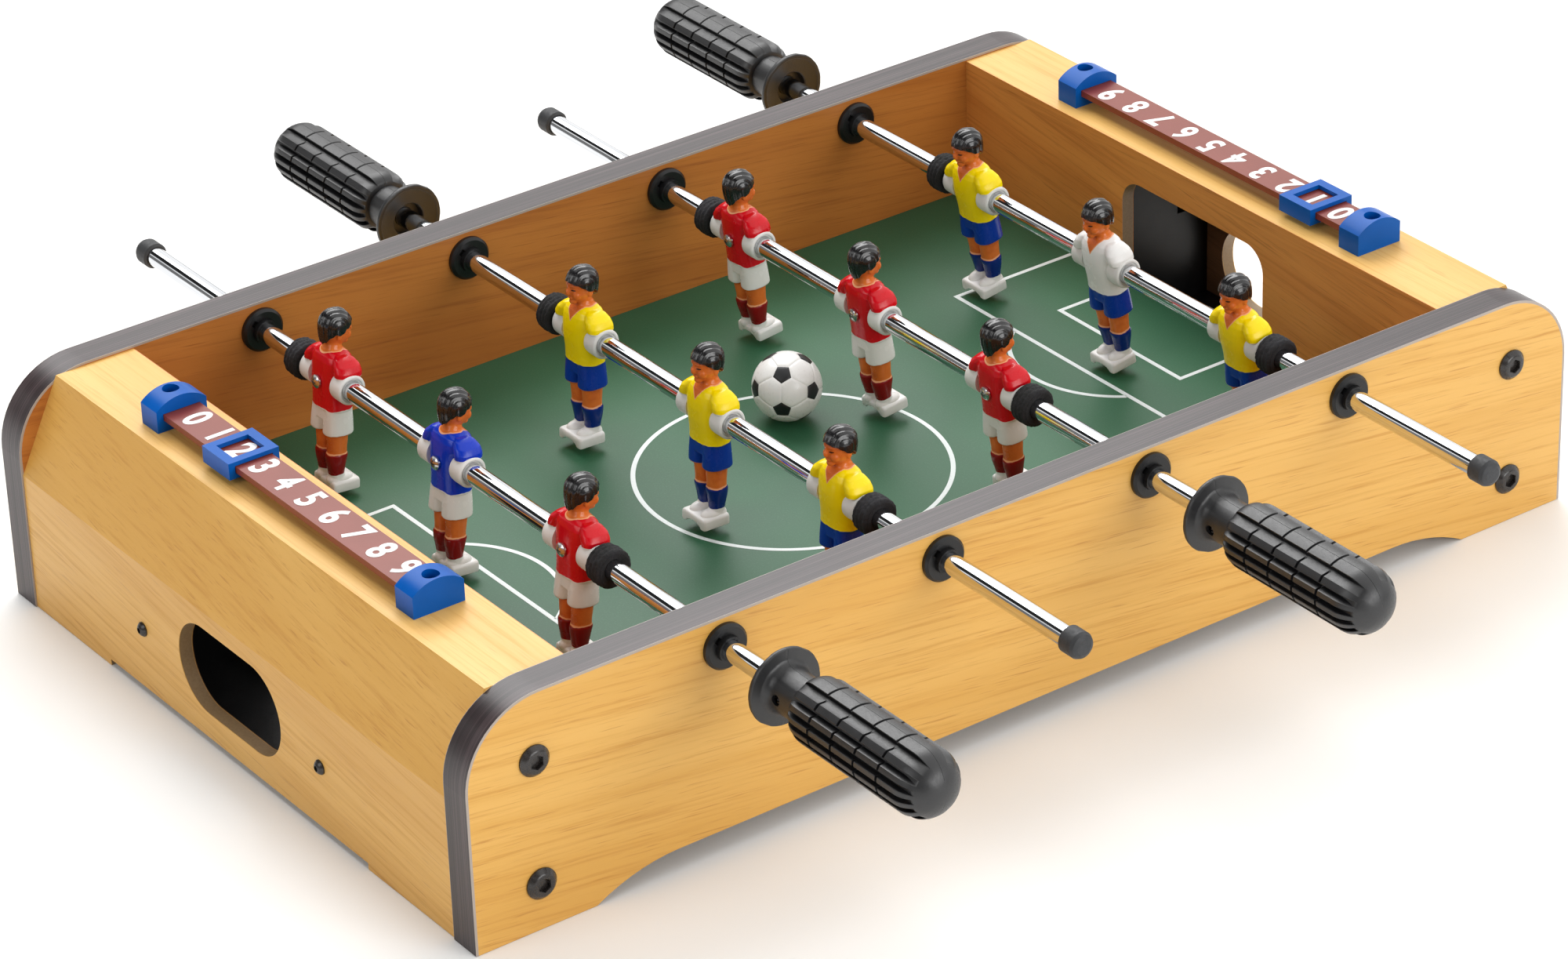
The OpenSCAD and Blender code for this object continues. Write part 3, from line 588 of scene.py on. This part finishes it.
def drawPitch():
    finish, tree, shader = startFinish("linePaint", rough=0.5)
    spot, _ = ownSpace(tree)
    worn = fade(tree, streaks(tree, spot, (1100, 1100, 1100), 4.0, 0.7), 0.56, 0.75, 0.0, 0.5)
    look, shape = pitchLines, Shape()
    colourOf(tree, shader, blendColour(tree, worn, paint(look["white"]), paint(look["rubbed"])))
    cx, cy, r = look["circle"]
    angles = [math.tau * k / look["circleSteps"] for k in range(look["circleSteps"])]
    stripe(shape, [(cx + r * math.cos(a), cy + r * math.sin(a)) for a in angles], True)
    wall = wallLow.x / mm - look["wallGap"]
    ax, ay, r = look["arc"]
    reach, steps = math.acos((ax - look["boxX"] + look["arcOverlap"]) / r), look["arcSteps"]
    angles = [reach * k / steps for k in range(-steps, steps + 1)]
    for side in (-1, 1):
        for depth, (low, high) in ((look["boxX"], look["boxY"]), (look["areaX"], look["areaY"])):
            corners = ((wall, low), (depth, low), (depth, high), (wall, high))
            stripe(shape, [(side * x, y) for x, y in corners])
        stripe(shape, [(side * (ax - r * math.cos(a)), ay + r * math.sin(a)) for a in angles])
    fit(makePiece("pitch_lines", shape.points, shape.faces, [finish]), "cabinet", "green_board")


drawPitch()
print("pitch drawn")


# counters: digits on the numbered bars

digitLook = {"size": 14.0, "tall": 1.16, "bold": 0.42, "raise": 0.08, "lift": 0.05, "pitch": 15.8,
             "curve": 6, "colour": "#F3F1EE", "shade": "#DDD8D4"}


def printDigits():
    look = digitLook
    white = moulded("digitWhite", look["colour"], look["shade"], 0.4)
    for side, name in ((-1, "left"), (1, "right")):
        low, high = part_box(f"score_bar_{name}")
        middle = (low + high) / 2
        shape = Shape()
        for digit in range(10):
            letter = bpy.data.curves.new("digit", "FONT")
            letter.body, letter.size = str(digit), look["size"]
            letter.align_x, letter.align_y = "CENTER", "CENTER"
            letter.offset, letter.extrude = look["bold"], look["raise"]
            letter.resolution_u = look["curve"]
            holder = bpy.data.objects.new("digit", letter)
            bpy.context.scene.collection.objects.link(holder)
            flat = settledMesh(holder)
            shift = look["pitch"] * (4.5 - digit)
            corners = [(-side * v.co.y * look["tall"], side * v.co.x - side * shift, v.co.z)
                       for v in flat.vertices]
            shape.take(corners, [tuple(p.vertices) for p in flat.polygons])
            bpy.data.objects.remove(holder)
            bpy.data.meshes.remove(flat)
        place = Matrix.Translation((middle.x, middle.y, high.z + look["lift"] * mm))
        piece = makePiece(f"score_digits_{name}", shape.points, shape.faces, [white], place)
        fit(piece, "cabinet", "brown_plastic")


printDigits()
print("digits printed")


# where each rod stands

rodLook = {"lean": (-5, -2, 6, 8), "handleEnd": 300.0, "pitch": 83.0}


def rodPlace(number):
    # a rod's own frame: its axis along Y, the handle towards -Y, the figures facing +X
    flip = number % 2 == 0
    low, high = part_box(f"handle_{number}")
    end = (high.y - rodLook["handleEnd"] * mm) if flip else (low.y + rodLook["handleEnd"] * mm)
    axis = next(j for j in frame["joints"] if j["name"] == f"rod_{number}_turn")["pos_m"]
    lean = Matrix.Rotation(math.radians(-rodLook["lean"][number - 1]), 4, "Y")
    facing = Matrix.Rotation(math.pi if flip else 0, 4, "Z")
    return Matrix.Translation((axis[0], end, axis[2])) @ lean @ facing


# handles

handleLook = {
    "root": 208.0, "neck": 8.7, "grip": 13.0, "neckEnd": 17.0, "length": 92.0, "dome": 12.5, "shoulder": 6.5,
    "slots": (-11.0, -6.6, -2.2, 2.2, 6.6, 11.0), "slotHalf": 1.12, "slotDepth": 2.8, "slotReach": 3.6,
    "rows": 5, "rowHalf": 0.36, "saddleCut": 0.7, "ribCut": 1.9, "seamHalf": 0.07, "seamCut": 0.12,
    "rowStart": 2.0, "rowEnd": 3.5, "rowLead": 0.14, "rowTail": 0.3, "shoulderStart": 9.2, "shoulderGap": 0.3,
    "bore": 4.15, "boreDepth": 12, "cup": 6.9, "cupDepth": 4.4, "groove": (8.4, 8.9), "crease": 32,
    "screwAt": 8.0, "screwSeat": 6.45, "pocket": 2.05, "pocketStart": 14.0,
    # radius and distance from the root, from the hollow's edge round the flange to the neck
    "flange": ((12.9, 0.5), (13.2, 0.35), (13.4, 0.05), (14.2, 0.0), (14.8, 0.25), (15.0, 0.8), (15.0, 1.5),
               (14.75, 1.95), (14.3, 2.1), (11.2, 2.15), (10.6, 2.4), (9.8, 3.0), (9.2, 3.9), (8.9, 6.0)),
}


def gripSection(radius, y, slotted, notched):
    # one closed outline round the grip: slots cut in from both sides, a seam at top and bottom
    look, side, last = handleLook, [], None
    deep = min(radius, look["grip"] - look["slotDepth"]) if slotted else radius
    soft = min(0.22, (radius - deep) / 2)

    def onArc(angle, r=radius):
        return r * math.cos(angle), r * math.sin(angle)

    def span(start, stop, count):
        return [onArc(start + (stop - start) * (k + 1) / (count + 1)) for k in range(count)]

    def foot(angle):
        x, z = onArc(angle)
        floor = math.sqrt(max(0.0, deep * deep - z * z))
        return max(floor, x - look["slotReach"] * (radius - deep) / look["slotDepth"]), z
    for z in look["slots"]:
        low = math.asin((z - look["slotHalf"]) / look["grip"])
        high = math.asin((z + look["slotHalf"]) / look["grip"])
        if last is not None:
            side += span(last, low - soft / radius, 3)
        side += [onArc(low - soft / radius), onArc(low, radius - soft), foot(low),
                 foot(high), onArc(high, radius - soft), onArc(high + soft / radius)]
        last = high + soft / radius
    first = -last
    seam = look["seamHalf"] / radius
    nick = radius - min(look["seamCut"], radius * 0.05)
    side = [(0, -nick), onArc(seam - math.pi / 2)] + span(seam - math.pi / 2, first, 5) + side
    side += span(last, math.pi / 2 - seam, 5) + [onArc(math.pi / 2 - seam), (0, nick)]
    if notched:
        saddle = math.asin((look["slots"][-1] + look["slotHalf"] / 2) / look["grip"])
        trimmed = []
        for x, z in side:
            limit = radius - (look["saddleCut"] if abs(math.atan2(z, x)) > saddle else look["ribCut"])
            shrink = min(1.0, limit / math.hypot(x, z))
            trimmed.append((x * shrink, z * shrink))
        side = trimmed
    return [(x, y, z) for x, z in side + [(-x, z) for x, z in side[::-1] if x > 1e-9]]


def gripRows():
    # radius, distance from the root, slotted, notched: from the bore round the flange and along the grip
    look = handleLook
    bore, cup, deep, neck, start = (look[word] for word in ("bore", "cup", "cupDepth", "neck", "neckEnd"))
    thin, thick = look["groove"]
    rows = [(bore, deep + look["boreDepth"]), (bore, deep), (cup - 0.3, deep), (cup, deep - 0.4), (cup, 0.9),
            (cup + 0.4, 0.5), *look["flange"], (neck, 11.0), (neck, start - 0.25), (thin, start),
            (thick, start + 0.1)]
    rows = [(r, s, False, False) for r, s in rows]
    inner, swell = look["shoulderStart"], look["grip"] - look["shoulderStart"]
    for k in range(1, 13):
        a = math.pi / 2 * k / 12
        s = start + look["shoulderGap"] + look["shoulder"] * (1 - math.cos(a))
        rows.append((inner + swell * math.sin(a), s, True, False))
    row = (look["length"] - look["dome"] + look["rowEnd"] - start - look["rowStart"]) / look["rows"]
    for k in range(1, look["rows"]):
        y, half = start + look["rowStart"] + k * row, look["rowHalf"]
        steps = ((-half - look["rowLead"], False), (-half, True),
                 (half, True), (half + look["rowTail"], False))
        rows += [(look["grip"], y + step, True, cut) for step, cut in steps]
    for k in range(0, 19):
        a = math.pi / 2 * k / 18
        s = look["length"] - look["dome"] * (1 - math.sin(a))
        rows.append((max(0.05, look["grip"] * math.cos(a)), s, True, False))
    return rows


def mouldHandle():
    look, shape = handleLook, Shape()
    shape.rings([gripSection(r, -look["root"] - s, slotted, notched)
                 for r, s, slotted, notched in gripRows()])
    grip = makePiece("grip_form", shape.points, shape.faces, [gripBlack], crease=look["crease"])
    # the pocket of the neck screw
    pin = Shape()
    pin.turned([(look["pocket"], -look["pocketStart"]), (look["pocket"], -look["screwSeat"])], steps=32)
    turned = [(y, -look["root"] - look["screwAt"] + x, z) for x, y, z in pin.points]
    cutter = makePiece("pocket_form", turned, pin.faces, [gripBlack])
    bite = grip.modifiers.new("pocket", "BOOLEAN")
    bite.object, bite.operation, bite.solver = cutter, "DIFFERENCE", "EXACT"
    mesh = settledMesh(grip)
    for spare in (grip, cutter):
        bpy.data.objects.remove(spare)
    mesh.set_sharp_from_angle(angle=math.radians(look["crease"]))
    for number in rodNumbers:
        piece = bpy.data.objects.new(f"grip_{number}", mesh)
        bpy.context.scene.collection.objects.link(piece)
        piece.matrix_world = rodPlace(number)
        fit(piece, f"rod_{number}", "black_grip", f"handle_{number}")


mouldHandle()
print("handles moulded")


# foam bumpers

bumperLook = {
    "radius": 8.0, "length": 8.5, "bore": 4.06, "shoulder": 1.3, "ridges": 4, "ridge": 0.32, "steps": 96,
    "face": ((5.2, 0.15), (6.4, 0.0)),  # radius and depth of the flat ends
    "rough": 0.28, "smoothTo": 5.5, "under": 0.02,
}


def cutBumpers(number):
    low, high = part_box(f"bumpers_{number}")
    look, shape = bumperLook, Shape()
    end, ridges = look["length"] / 2, look["ridges"]
    for side in (-1, 1):
        middle = side * ((high.y - low.y) / 2 / mm - end)
        flat = [(look["bore"], 0.6), *look["face"]]
        rows = [(r, -end + inset) for r, inset in flat]
        for k in range(25):
            t = -1 + 2 * k / 24
            swell = (1 - abs(t) ** 5) ** 0.5 if abs(t) < 1 else 0
            wave = 0.5 + 0.5 * math.cos(math.pi * 2 * ridges * t / 2 + math.pi * ridges)
            r = look["radius"] - look["shoulder"] * (1 - swell) - look["ridge"] * wave
            rows.append((r - 0.15, t * (end - 0.1)))
        rows += [(r, end - inset) for r, inset in flat[::-1]]
        rings = []
        for r, y in rows:
            ring = []
            for k in range(look["steps"]):
                a = math.tau * k / look["steps"]
                spot = Vector((math.cos(a) * r, y + middle + number * 31, math.sin(a) * r))
                grain = noise.noise(spot * 0.9) + 0.6 * noise.noise(spot * 2.1)
                rough = look["rough"] * grain if r > look["smoothTo"] else 0
                near = min(r + rough, look["radius"] - look["under"])
                ring.append((near * math.cos(a), middle + y, near * math.sin(a)))
            rings.append(ring)
        shape.rings(rings, closed=True)
    piece = makePiece(f"foam_{number}", shape.points, shape.faces, [foamBlack], rodPlace(number), crease=60)
    fit(piece, f"bumpers_{number}", "black_rubber", f"bumpers_{number}")


for number in rodNumbers:
    cutBumpers(number)
print("bumpers cut")


# ball

ballLook = {
    "share": 0.272, "seam": 0.22, "seamWidth": 0.35, "side": 8,
    "steps": (0.2, 0.4, 0.6, 0.75, 0.86, 0.93, 0.97, 1.0),  # from a panel's middle out to its seam
    "topSpot": (-0.480, -0.462, 0.746), "lowSpot": (-0.690, -0.684, -0.238),
    "white": "#F4F4F2", "whiteShade": "#ECECEA", "black": "#17181A", "blackShade": "#222326",
}


def sewBall():
    low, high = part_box("ball")
    look, radius = ballLook, (high.x - low.x) / 2 / mm
    level, spread = 1 / math.sqrt(5), 2 / math.sqrt(5)
    angles = [math.tau * k / 5 for k in range(5)]
    tips = [Vector((0, 0, 1))] + [Vector((spread * math.cos(a), spread * math.sin(a), level)) for a in angles]
    tips += [-t for t in tips]
    near = {a: [b for b in range(12) if a != b and tips[a].dot(tips[b]) > 0.4] for a in range(12)}
    panels, share = [], look["share"]

    def inTurn(a):
        # the five tips next to tip a, in their order round it
        start = (tips[near[a][0]] - tips[a]).normalized()
        over = tips[a].cross(start)
        return sorted(near[a], key=lambda b: math.atan2((tips[b] - tips[a]).dot(over),
                                                        (tips[b] - tips[a]).dot(start)))
    for a in range(12):
        panels.append(([tips[a].lerp(tips[b], share) for b in inTurn(a)], 1))
    for a in range(12):
        for b in near[a]:
            for c in near[a]:
                if a < b < c and c in near[b]:
                    loop = [(a, b), (b, a), (b, c), (c, b), (c, a), (a, c)]
                    panels.append(([tips[p].lerp(tips[q], share) for p, q in loop], 0))
    shape, steps = Shape(), look["steps"]
    for corners, kind in panels:
        centre = sum(corners, Vector()) / len(corners)
        apothem = (corners[0].lerp(corners[1], 0.5) - centre).length * radius
        points, count = [], len(corners) * look["side"]
        for u in steps:
            inset = (1 - u) * apothem / look["seamWidth"]
            sink = look["seam"] * math.exp(-inset * inset)
            for k, corner in enumerate(corners):
                following = corners[(k + 1) % len(corners)]
                for j in range(look["side"]):
                    edge = corner.lerp(following, j / look["side"])
                    points.append(tuple(centre.lerp(edge, u).normalized() * (radius - sink)))
        faces = []
        for start in range(0, (len(steps) - 1) * count, count):
            for k in range(count):
                here, beside = start + k, start + (k + 1) % count
                faces.append((here, beside, beside + count, here + count))
        points.append(tuple(centre.normalized() * radius))
        faces += [(len(points) - 1, k, (k + 1) % count) for k in range(count)]
        shape.take(points, faces, kind)
    up = Vector(look["topSpot"]).normalized()
    out = Vector(look["lowSpot"])
    out = (out - up * out.dot(up)).normalized()
    turn = Matrix((out, up.cross(out), up)).transposed().to_4x4()
    white = moulded("ballWhite", look["white"], look["whiteShade"], 0.3, 900, 0.00002, 0.5, 0.2)
    black = moulded("ballBlack", look["black"], look["blackShade"], 0.42, 900, 0.00002)
    piece = makePiece("sewn_ball", shape.points, shape.faces, [white, black],
                      Matrix.Translation((low + high) / 2) @ turn, shape.kinds, crease=70)
    fit(piece, "ball", "white_ball", "ball")


sewBall()
print("ball sewn")


# figures

kits = {
    "red": {"shirt": "#D2061A", "shorts": "#E8E8E4", "socks": "#86060E", "slot": "red_figure"},
    "yellow": {"shirt": "#FFE300", "shorts": "#06369C", "socks": "#052578", "slot": "yellow_figure"},
    "blue": {"shirt": "#0436C0", "shorts": "#E8E8E4", "socks": "#86060E", "slot": "blue_figure"},
    "white": {"shirt": "#F0F0EE", "shorts": "#06369C", "socks": "#052578", "slot": "white_figure"},
}
wornBy = {(1, "middle"): "blue", (4, "middle"): "white"}
# heights and widths of the painted areas, in metres from the rod's axis
figureLook = {
    "skin": "#E0762F", "skinDeep": "#C95F24", "rim": "#F4AE7E", "eye": "#2A1712",
    "plastic": "#EDEDEA", "plasticShade": "#DEDEDA", "hair": "#131214", "hairShade": "#201E20",
    "hem": -0.0109, "shortsEnd": -0.0214, "sockTop": -0.0303, "sockCuff": 0.0006, "sockEnd": -0.0390,
    "wobble": 0.0015, "paintEdge": 0.00012, "hubHalf": 0.0090, "hubTop": 0.0050, "hubLow": -0.0082,
    "neckHalf": 0.0043, "collar": 0.0105, "vee": 0.0072, "veeSlope": 0.66, "chin": 0.0140, "rimWide": 0.0004,
    "eyeHigh": 0.0203, "eyeApart": 0.0021, "eyeWide": 0.00085, "eyeTall": 0.00032,
    "faceFrom": (0.0035, 0.0040),
}


def kitFinish(name, kit):
    # paint laid on white plastic in bands, each with a slightly uneven edge
    look = figureLook
    finish, tree, shader = startFinish(f"kit_{name}", rough=0.24, spec=0.34, coat=0.08, coatRough=0.1)
    spot, (x, y, z) = ownSpace(tree)
    uneven = streaks(tree, spot, (190, 190, 190), 2.0)
    waver = work(tree, "MULTIPLY", work(tree, "SUBTRACT", uneven, 0.5), look["wobble"])
    height = work(tree, "ADD", z, waver)
    flat = work(tree, "ABSOLUTE", y)
    aside = work(tree, "ADD", flat, waver)
    cloud = streaks(tree, spot, (110, 110, 110), 3.0)

    def above(edge):
        return fade(tree, height, edge - look["paintEdge"], edge + look["paintEdge"])

    def gap(a, b):
        return work(tree, "SUBTRACT", a, b)

    def square(a):
        return work(tree, "MULTIPLY", a, a)
    skin = blendColour(tree, fade(tree, cloud, 0.35, 0.68), paint(look["skin"]), paint(look["skinDeep"]))
    tone = blendColour(tree, above(look["sockEnd"]), paint(look["plastic"]), paint(kit["socks"]))
    tone = blendColour(tree, above(look["sockTop"]), tone, paint(look["rim"]))
    tone = blendColour(tree, above(look["sockTop"] + look["sockCuff"]), tone, skin)
    tone = blendColour(tree, above(look["shortsEnd"]), tone, paint(kit["shorts"]))
    tone = blendColour(tree, above(look["hem"]), tone, paint(kit["shirt"]))
    # the bare white ring round each arm's hub, below the painted sleeve
    hubSpan = work(tree, "MULTIPLY", fade(tree, height, look["hubTop"] + hairline, look["hubTop"] - hairline),
                   above(look["hubLow"]))
    bare = work(tree, "MULTIPLY", fade(tree, aside, look["hubHalf"] - hairline, look["hubHalf"] + hairline),
                hubSpan)
    tone = blendColour(tree, bare, tone, paint(look["plastic"]))
    # skin shows inside a round collar, in the V at the front, and above the chin's height
    reach = work(tree, "SQRT", work(tree, "ADD", square(x), square(aside)))
    inCollar = work(tree, "MINIMUM", gap(look["neckHalf"], reach), gap(z, look["collar"]))
    veeHalf = work(tree, "MULTIPLY", gap(height, look["vee"]), look["veeSlope"])
    inVee = work(tree, "MINIMUM", gap(veeHalf, flat), x)
    inside = work(tree, "MAXIMUM", work(tree, "MAXIMUM", inCollar, inVee), gap(z, look["chin"]))
    rim = fade(tree, inside, -look["rimWide"] - hairline, -look["rimWide"])
    tone = blendColour(tree, rim, tone, paint(look["rim"]))
    tone = blendColour(tree, fade(tree, inside, -hairline, hairline), tone, skin)
    # plain painted eyes
    across = work(tree, "DIVIDE", gap(flat, look["eyeApart"]), look["eyeWide"])
    upDown = work(tree, "DIVIDE", gap(z, look["eyeHigh"]), look["eyeTall"])
    eye = work(tree, "ADD", square(across), square(upDown))
    eye = work(tree, "MULTIPLY", fade(tree, eye, 1.2, 0.8), fade(tree, x, *look["faceFrom"]))
    tone = blendColour(tree, eye, tone, paint(look["eye"]))
    colourOf(tree, shader, tone)
    relief(tree, shader, streaks(tree, spot, (700, 700, 700), 2.0), 0.00003, 0.4)
    tree.links.new(fade(tree, cloud, 0.3, 0.7, 0.2, 0.3), shader.inputs["Roughness"])
    return finish


# the forms that melt into one figure, in millimetres: limbs as (squareness, levels) with levels as
# Shape.limb takes them, blobs as (centre, radii); those of the sides are mirrored
figureForm = {
    "trunk": (
        (2.6, ((14.4, -2.9, 3.2, 0, 3.5), (13.0, -3.4, 3.7, 0, 3.9), (12.1, -4.3, 4.6, 0, 5.8),
               (10.8, -5.3, 5.8, 0, 8.0), (8.6, -6.0, 6.7, 0, 9.3), (6.0, -6.3, 7.2, 0, 9.5),
               (3.0, -6.5, 7.5, 0, 9.0), (-1.5, -6.5, 7.4, 0, 8.7), (-6.5, -6.2, 6.8, 0, 8.5),
               (-10.2, -6.0, 6.5, 0, 8.7), (-11.2, -6.1, 6.6, 0, 8.8), (-11.4, -5.6, 6.1, 0, 8.3))),
        (2.6, ((-8.0, -5.2, 5.7, 0, 7.9), (-12.5, -5.5, 5.9, 0, 8.2), (-16.0, -5.6, 5.9, 0, 8.3))),
    ),
    "sides": (
        # sleeve over the hub
        (2.4, ((11.7, -2.4, 3.0, 6.6, 1.7), (10.8, -3.8, 4.5, 7.8, 2.6), (8.8, -5.0, 5.9, 9.3, 3.3),
               (6.6, -5.4, 6.2, 10.5, 3.4), (4.6, -5.3, 6.0, 10.9, 3.2), (4.2, -4.5, 5.0, 11.0, 2.7))),
        # leg of the shorts
        (2.5, ((-10.0, -5.3, 5.7, 4.1, 3.9), (-16.0, -5.7, 6.0, 4.3, 4.3), (-21.0, -6.0, 6.1, 4.4, 4.5),
               (-21.8, -5.6, 5.7, 4.4, 4.1))),
        # thigh, and calf with its sock
        (2.3, ((-19.0, -4.3, 4.5, 3.9, 3.7), (-24.5, -4.1, 4.2, 3.8, 3.55), (-28.0, -3.9, 3.9, 3.7, 3.4),
               (-30.2, -3.9, 3.9, 3.65, 3.4), (-30.6, -4.4, 4.3, 3.65, 3.75), (-31.3, -4.5, 4.3, 3.65, 3.8),
               (-33.8, -4.3, 3.7, 3.6, 3.6), (-38.0, -3.4, 3.0, 3.5, 3.05), (-41.5, -2.9, 2.9, 3.4, 2.8),
               (-44.0, -2.9, 3.0, 3.4, 2.8))),
    ),
    # toe, heel, ear, cheek
    "sideBlobs": (((2.3, 3.6, -41.7), (4.9, 3.0, 2.3)), ((-1.2, 3.5, -41.9), (3.0, 2.9, 2.5)),
                  ((0.4, 4.6, 18.6), (1.2, 0.75, 1.7)), ((5.0, 2.2, 18.0), (1.9, 1.8, 2.0))),
    "neck": ((2.0, ((9.0, -3.0, 3.8, 0, 3.6), (13.0, -3.0, 3.5, 0, 3.3), (17.0, -2.8, 3.6, 0, 3.3))),),
    # head, brow, tip and bridge of the nose, mouth, chin
    "face": (((1.7, 0, 20.0), (5.7, 4.65, 6.8)), ((6.0, 0, 21.9), (1.5, 3.1, 1.0)),
             ((7.4, 0, 19.1), (1.25, 0.85, 1.5)), ((6.7, 0, 20.6), (1.2, 0.6, 1.6)),
             ((6.3, 0, 16.6), (1.0, 1.7, 0.55)), ((5.3, 0, 14.9), (1.6, 1.8, 1.35))),
    "grain": 0.28, "calming": 5, "keep": 0.2,
}


def figureSkin():
    body, form = Shape(), figureForm

    def addForms(limbs, blobs, side=1):
        for square, levels in limbs:
            body.limb([(z, back, front, side * y, half) for z, back, front, y, half in levels], square=square)
        for (x, y, z), radii in blobs:
            body.blob((x, side * y, z), radii)
    addForms(form["trunk"], ())
    for side in (-1, 1):
        addForms(form["sides"], form["sideBlobs"], side)
    addForms(form["neck"], form["face"])
    return shrinkToSkin(body, form["grain"], form["calming"], form["keep"])


hairLook = {
    "centre": (0.9, 0.0, 22.2), "radii": (6.55, 5.75, 6.5), "columns": 168, "levels": 40, "top": 28.85,
    "locks": 4.6, "ridge": 0.45, "fringe": 0.5, "sway": 0.10, "stray": 0.05, "meanRadius": 6.8,
    "fallRadius": 6.5, "narrowing": 0.30, "narrowOver": 9.5,  # how the hair that hangs draws in
    "tuckIn": 0.12, "tuckUp": (0.15, 0.8, 1.8),
    # angle from the face and height of the hair's edge
    "edge": ((0, 23.6), (40, 22.8), (66, 21.4), (84, 19.9), (98, 19.4), (108, 20.0), (128, 18.6),
             (155, 16.2), (180, 15.0)),
}


def hairEdge(angle):
    edge = hairLook["edge"]
    for (a0, z0), (a1, z1) in zip(edge, edge[1:]):
        if angle <= a1:
            t = (angle - a0) / (a1 - a0)
            return z0 + (z1 - z0) * t * t * (3 - 2 * t)
    return edge[-1][1]


def combHair(shape, kind):
    # a thick cap of hair combed from front to back, hanging to a point at the nape
    look = hairLook
    centre, radii, levels = Vector(look["centre"]), look["radii"], look["levels"]
    rings = []
    for level in range(1, levels + 1 + len(look["tuckUp"])):
        ring, share = [], min(level, levels) / levels
        for k in range(look["columns"]):
            a = math.tau * k / look["columns"]
            edge = hairEdge(abs(math.degrees(math.atan2(math.sin(a), math.cos(a)))))
            # down the dome as far as its widest level, then almost straight down
            dome = math.acos(max(0.0, min(1.0, (edge - centre.z) / radii[2])))
            fall = max(0.0, centre.z - edge)
            travel = share * (dome + fall / look["fallRadius"])
            tilt, drop = min(travel, dome), max(0.0, travel - dome) * look["fallRadius"]
            narrow = 1 - look["narrowing"] * (drop / look["narrowOver"]) ** 2
            out, up = math.sin(tilt), math.cos(tilt)
            x, y = out * math.cos(a) * narrow, out * math.sin(a) * narrow
            stray = look["stray"] * noise.noise(Vector((x, y, up)) * 1.7)
            lane = (y + look["sway"] * math.sin(x * 2.6) + stray) * look["locks"]
            strand = abs(math.sin(lane * math.pi * 1.35 + x)) ** 0.8
            lock = abs(math.sin(lane * math.pi * 0.5)) ** 0.7 - 0.7 + 0.28 * strand
            fringe = look["fringe"] * max(0, math.cos(a)) ** 3 * share ** 3
            size = 1 + (look["ridge"] * lock * min(1, share * 4) + fringe) / look["meanRadius"]
            spot = Vector((x * radii[0], y * radii[1], up * radii[2])) * size
            spot.z = min(spot.z, look["top"] - centre.z) - drop
            if level > levels:
                # turn the rim inwards, under the edge
                tuck = level - levels
                inward, rise = 1 - look["tuckIn"] * tuck, look["tuckUp"][tuck - 1]
                spot = Vector((spot.x * inward, spot.y * inward, spot.z + rise))
            ring.append(tuple(centre + spot))
        rings.append(ring)
    shape.rings(rings, kind)


# outline of the hub at the end of each arm, as radius and distance from the figure's middle
hubOutline = ((4.08, 13.6), (4.75, 13.6), (4.85, 13.7), (4.85, 14.3), (5.0, 14.45), (5.4, 14.5), (5.85, 14.3),
              (6.1, 13.8), (6.15, 9.0), (6.0, 7.6), (4.08, 7.6))


def armHubs(shape, kind):
    for side in (-1, 1):
        shape.turned([(r, side * y) for r, y in hubOutline], kind, closed=True)


footLook = {
    "half": 7.5, "low": -46.2, "high": -41.6, "corner": 1.3, "channelHalf": 5.0, "channelDeep": 1.9,
    # along X, and how far the section draws in there
    "stations": ((-3.6, 1.0), (-3.45, 0.45), (-3.1, 0.12), (-2.4, 0.0), (7.4, 0.0), (8.1, 0.12),
                 (8.45, 0.45), (8.6, 1.0)),
}


def footBlock(shape, kind):
    # rounded block with a shallow channel under it, lofted along X
    look = footLook

    def section(inset):
        half, low, high = look["half"] - inset, look["low"] + inset * 0.4, look["high"] - inset
        points, corner, wide = [], look["corner"], look["channelHalf"]
        for cy, cz, start in ((half - corner, high - corner, 0), (-half + corner, high - corner, 90)):
            for k in range(7):
                a = math.radians(start + 15 * k)
                points.append((cy + corner * math.cos(a), cz + corner * math.sin(a)))
        points += [(-half, low + 0.5), (-half + 0.15, low + 0.15), (-half + 0.5, low)]
        for k in range(-8, 9):
            y = k / 8 * wide
            points.append((y, low + look["channelDeep"] * (1 - (y / wide) ** 2) ** 0.7))
        points += [(half - 0.5, low), (half - 0.15, low + 0.15), (half, low + 0.5)]
        return points
    shape.rings([[(x, y, z) for y, z in section(inset)] for x, inset in look["stations"]], kind)


def castFigures():
    shape = Shape()
    shape.take(*figureSkin(), 0)
    combHair(shape, 1)
    armHubs(shape, 2)
    footBlock(shape, 2)
    look = figureLook
    hair = moulded("hairBlack", look["hair"], look["hairShade"], 0.22, 600, 0.00002, 0.5, 0.4)
    plastic = moulded("figurePlastic", look["plastic"], look["plasticShade"], 0.34, 700, 0.00002, 0.5, 0.1)
    finishes = {name: kitFinish(name, kit) for name, kit in kits.items()}
    for number in rodNumbers:
        flip = -1 if number % 2 == 0 else 1
        for word, step in places.items():
            kit = wornBy.get((number, word), "red" if number % 2 else "yellow")
            place = rodPlace(number) @ Matrix.Translation((0, step * flip * rodLook["pitch"] * mm, 0))
            piece = makePiece(f"player_{number}_{word}", shape.points, shape.faces,
                              [finishes[kit], hair, plastic], place, shape.kinds, crease=50)
            fit(piece, f"rod_{number}", kits[kit]["slot"], f"figure_{number}_{word}")


castFigures()
print("figures cast")
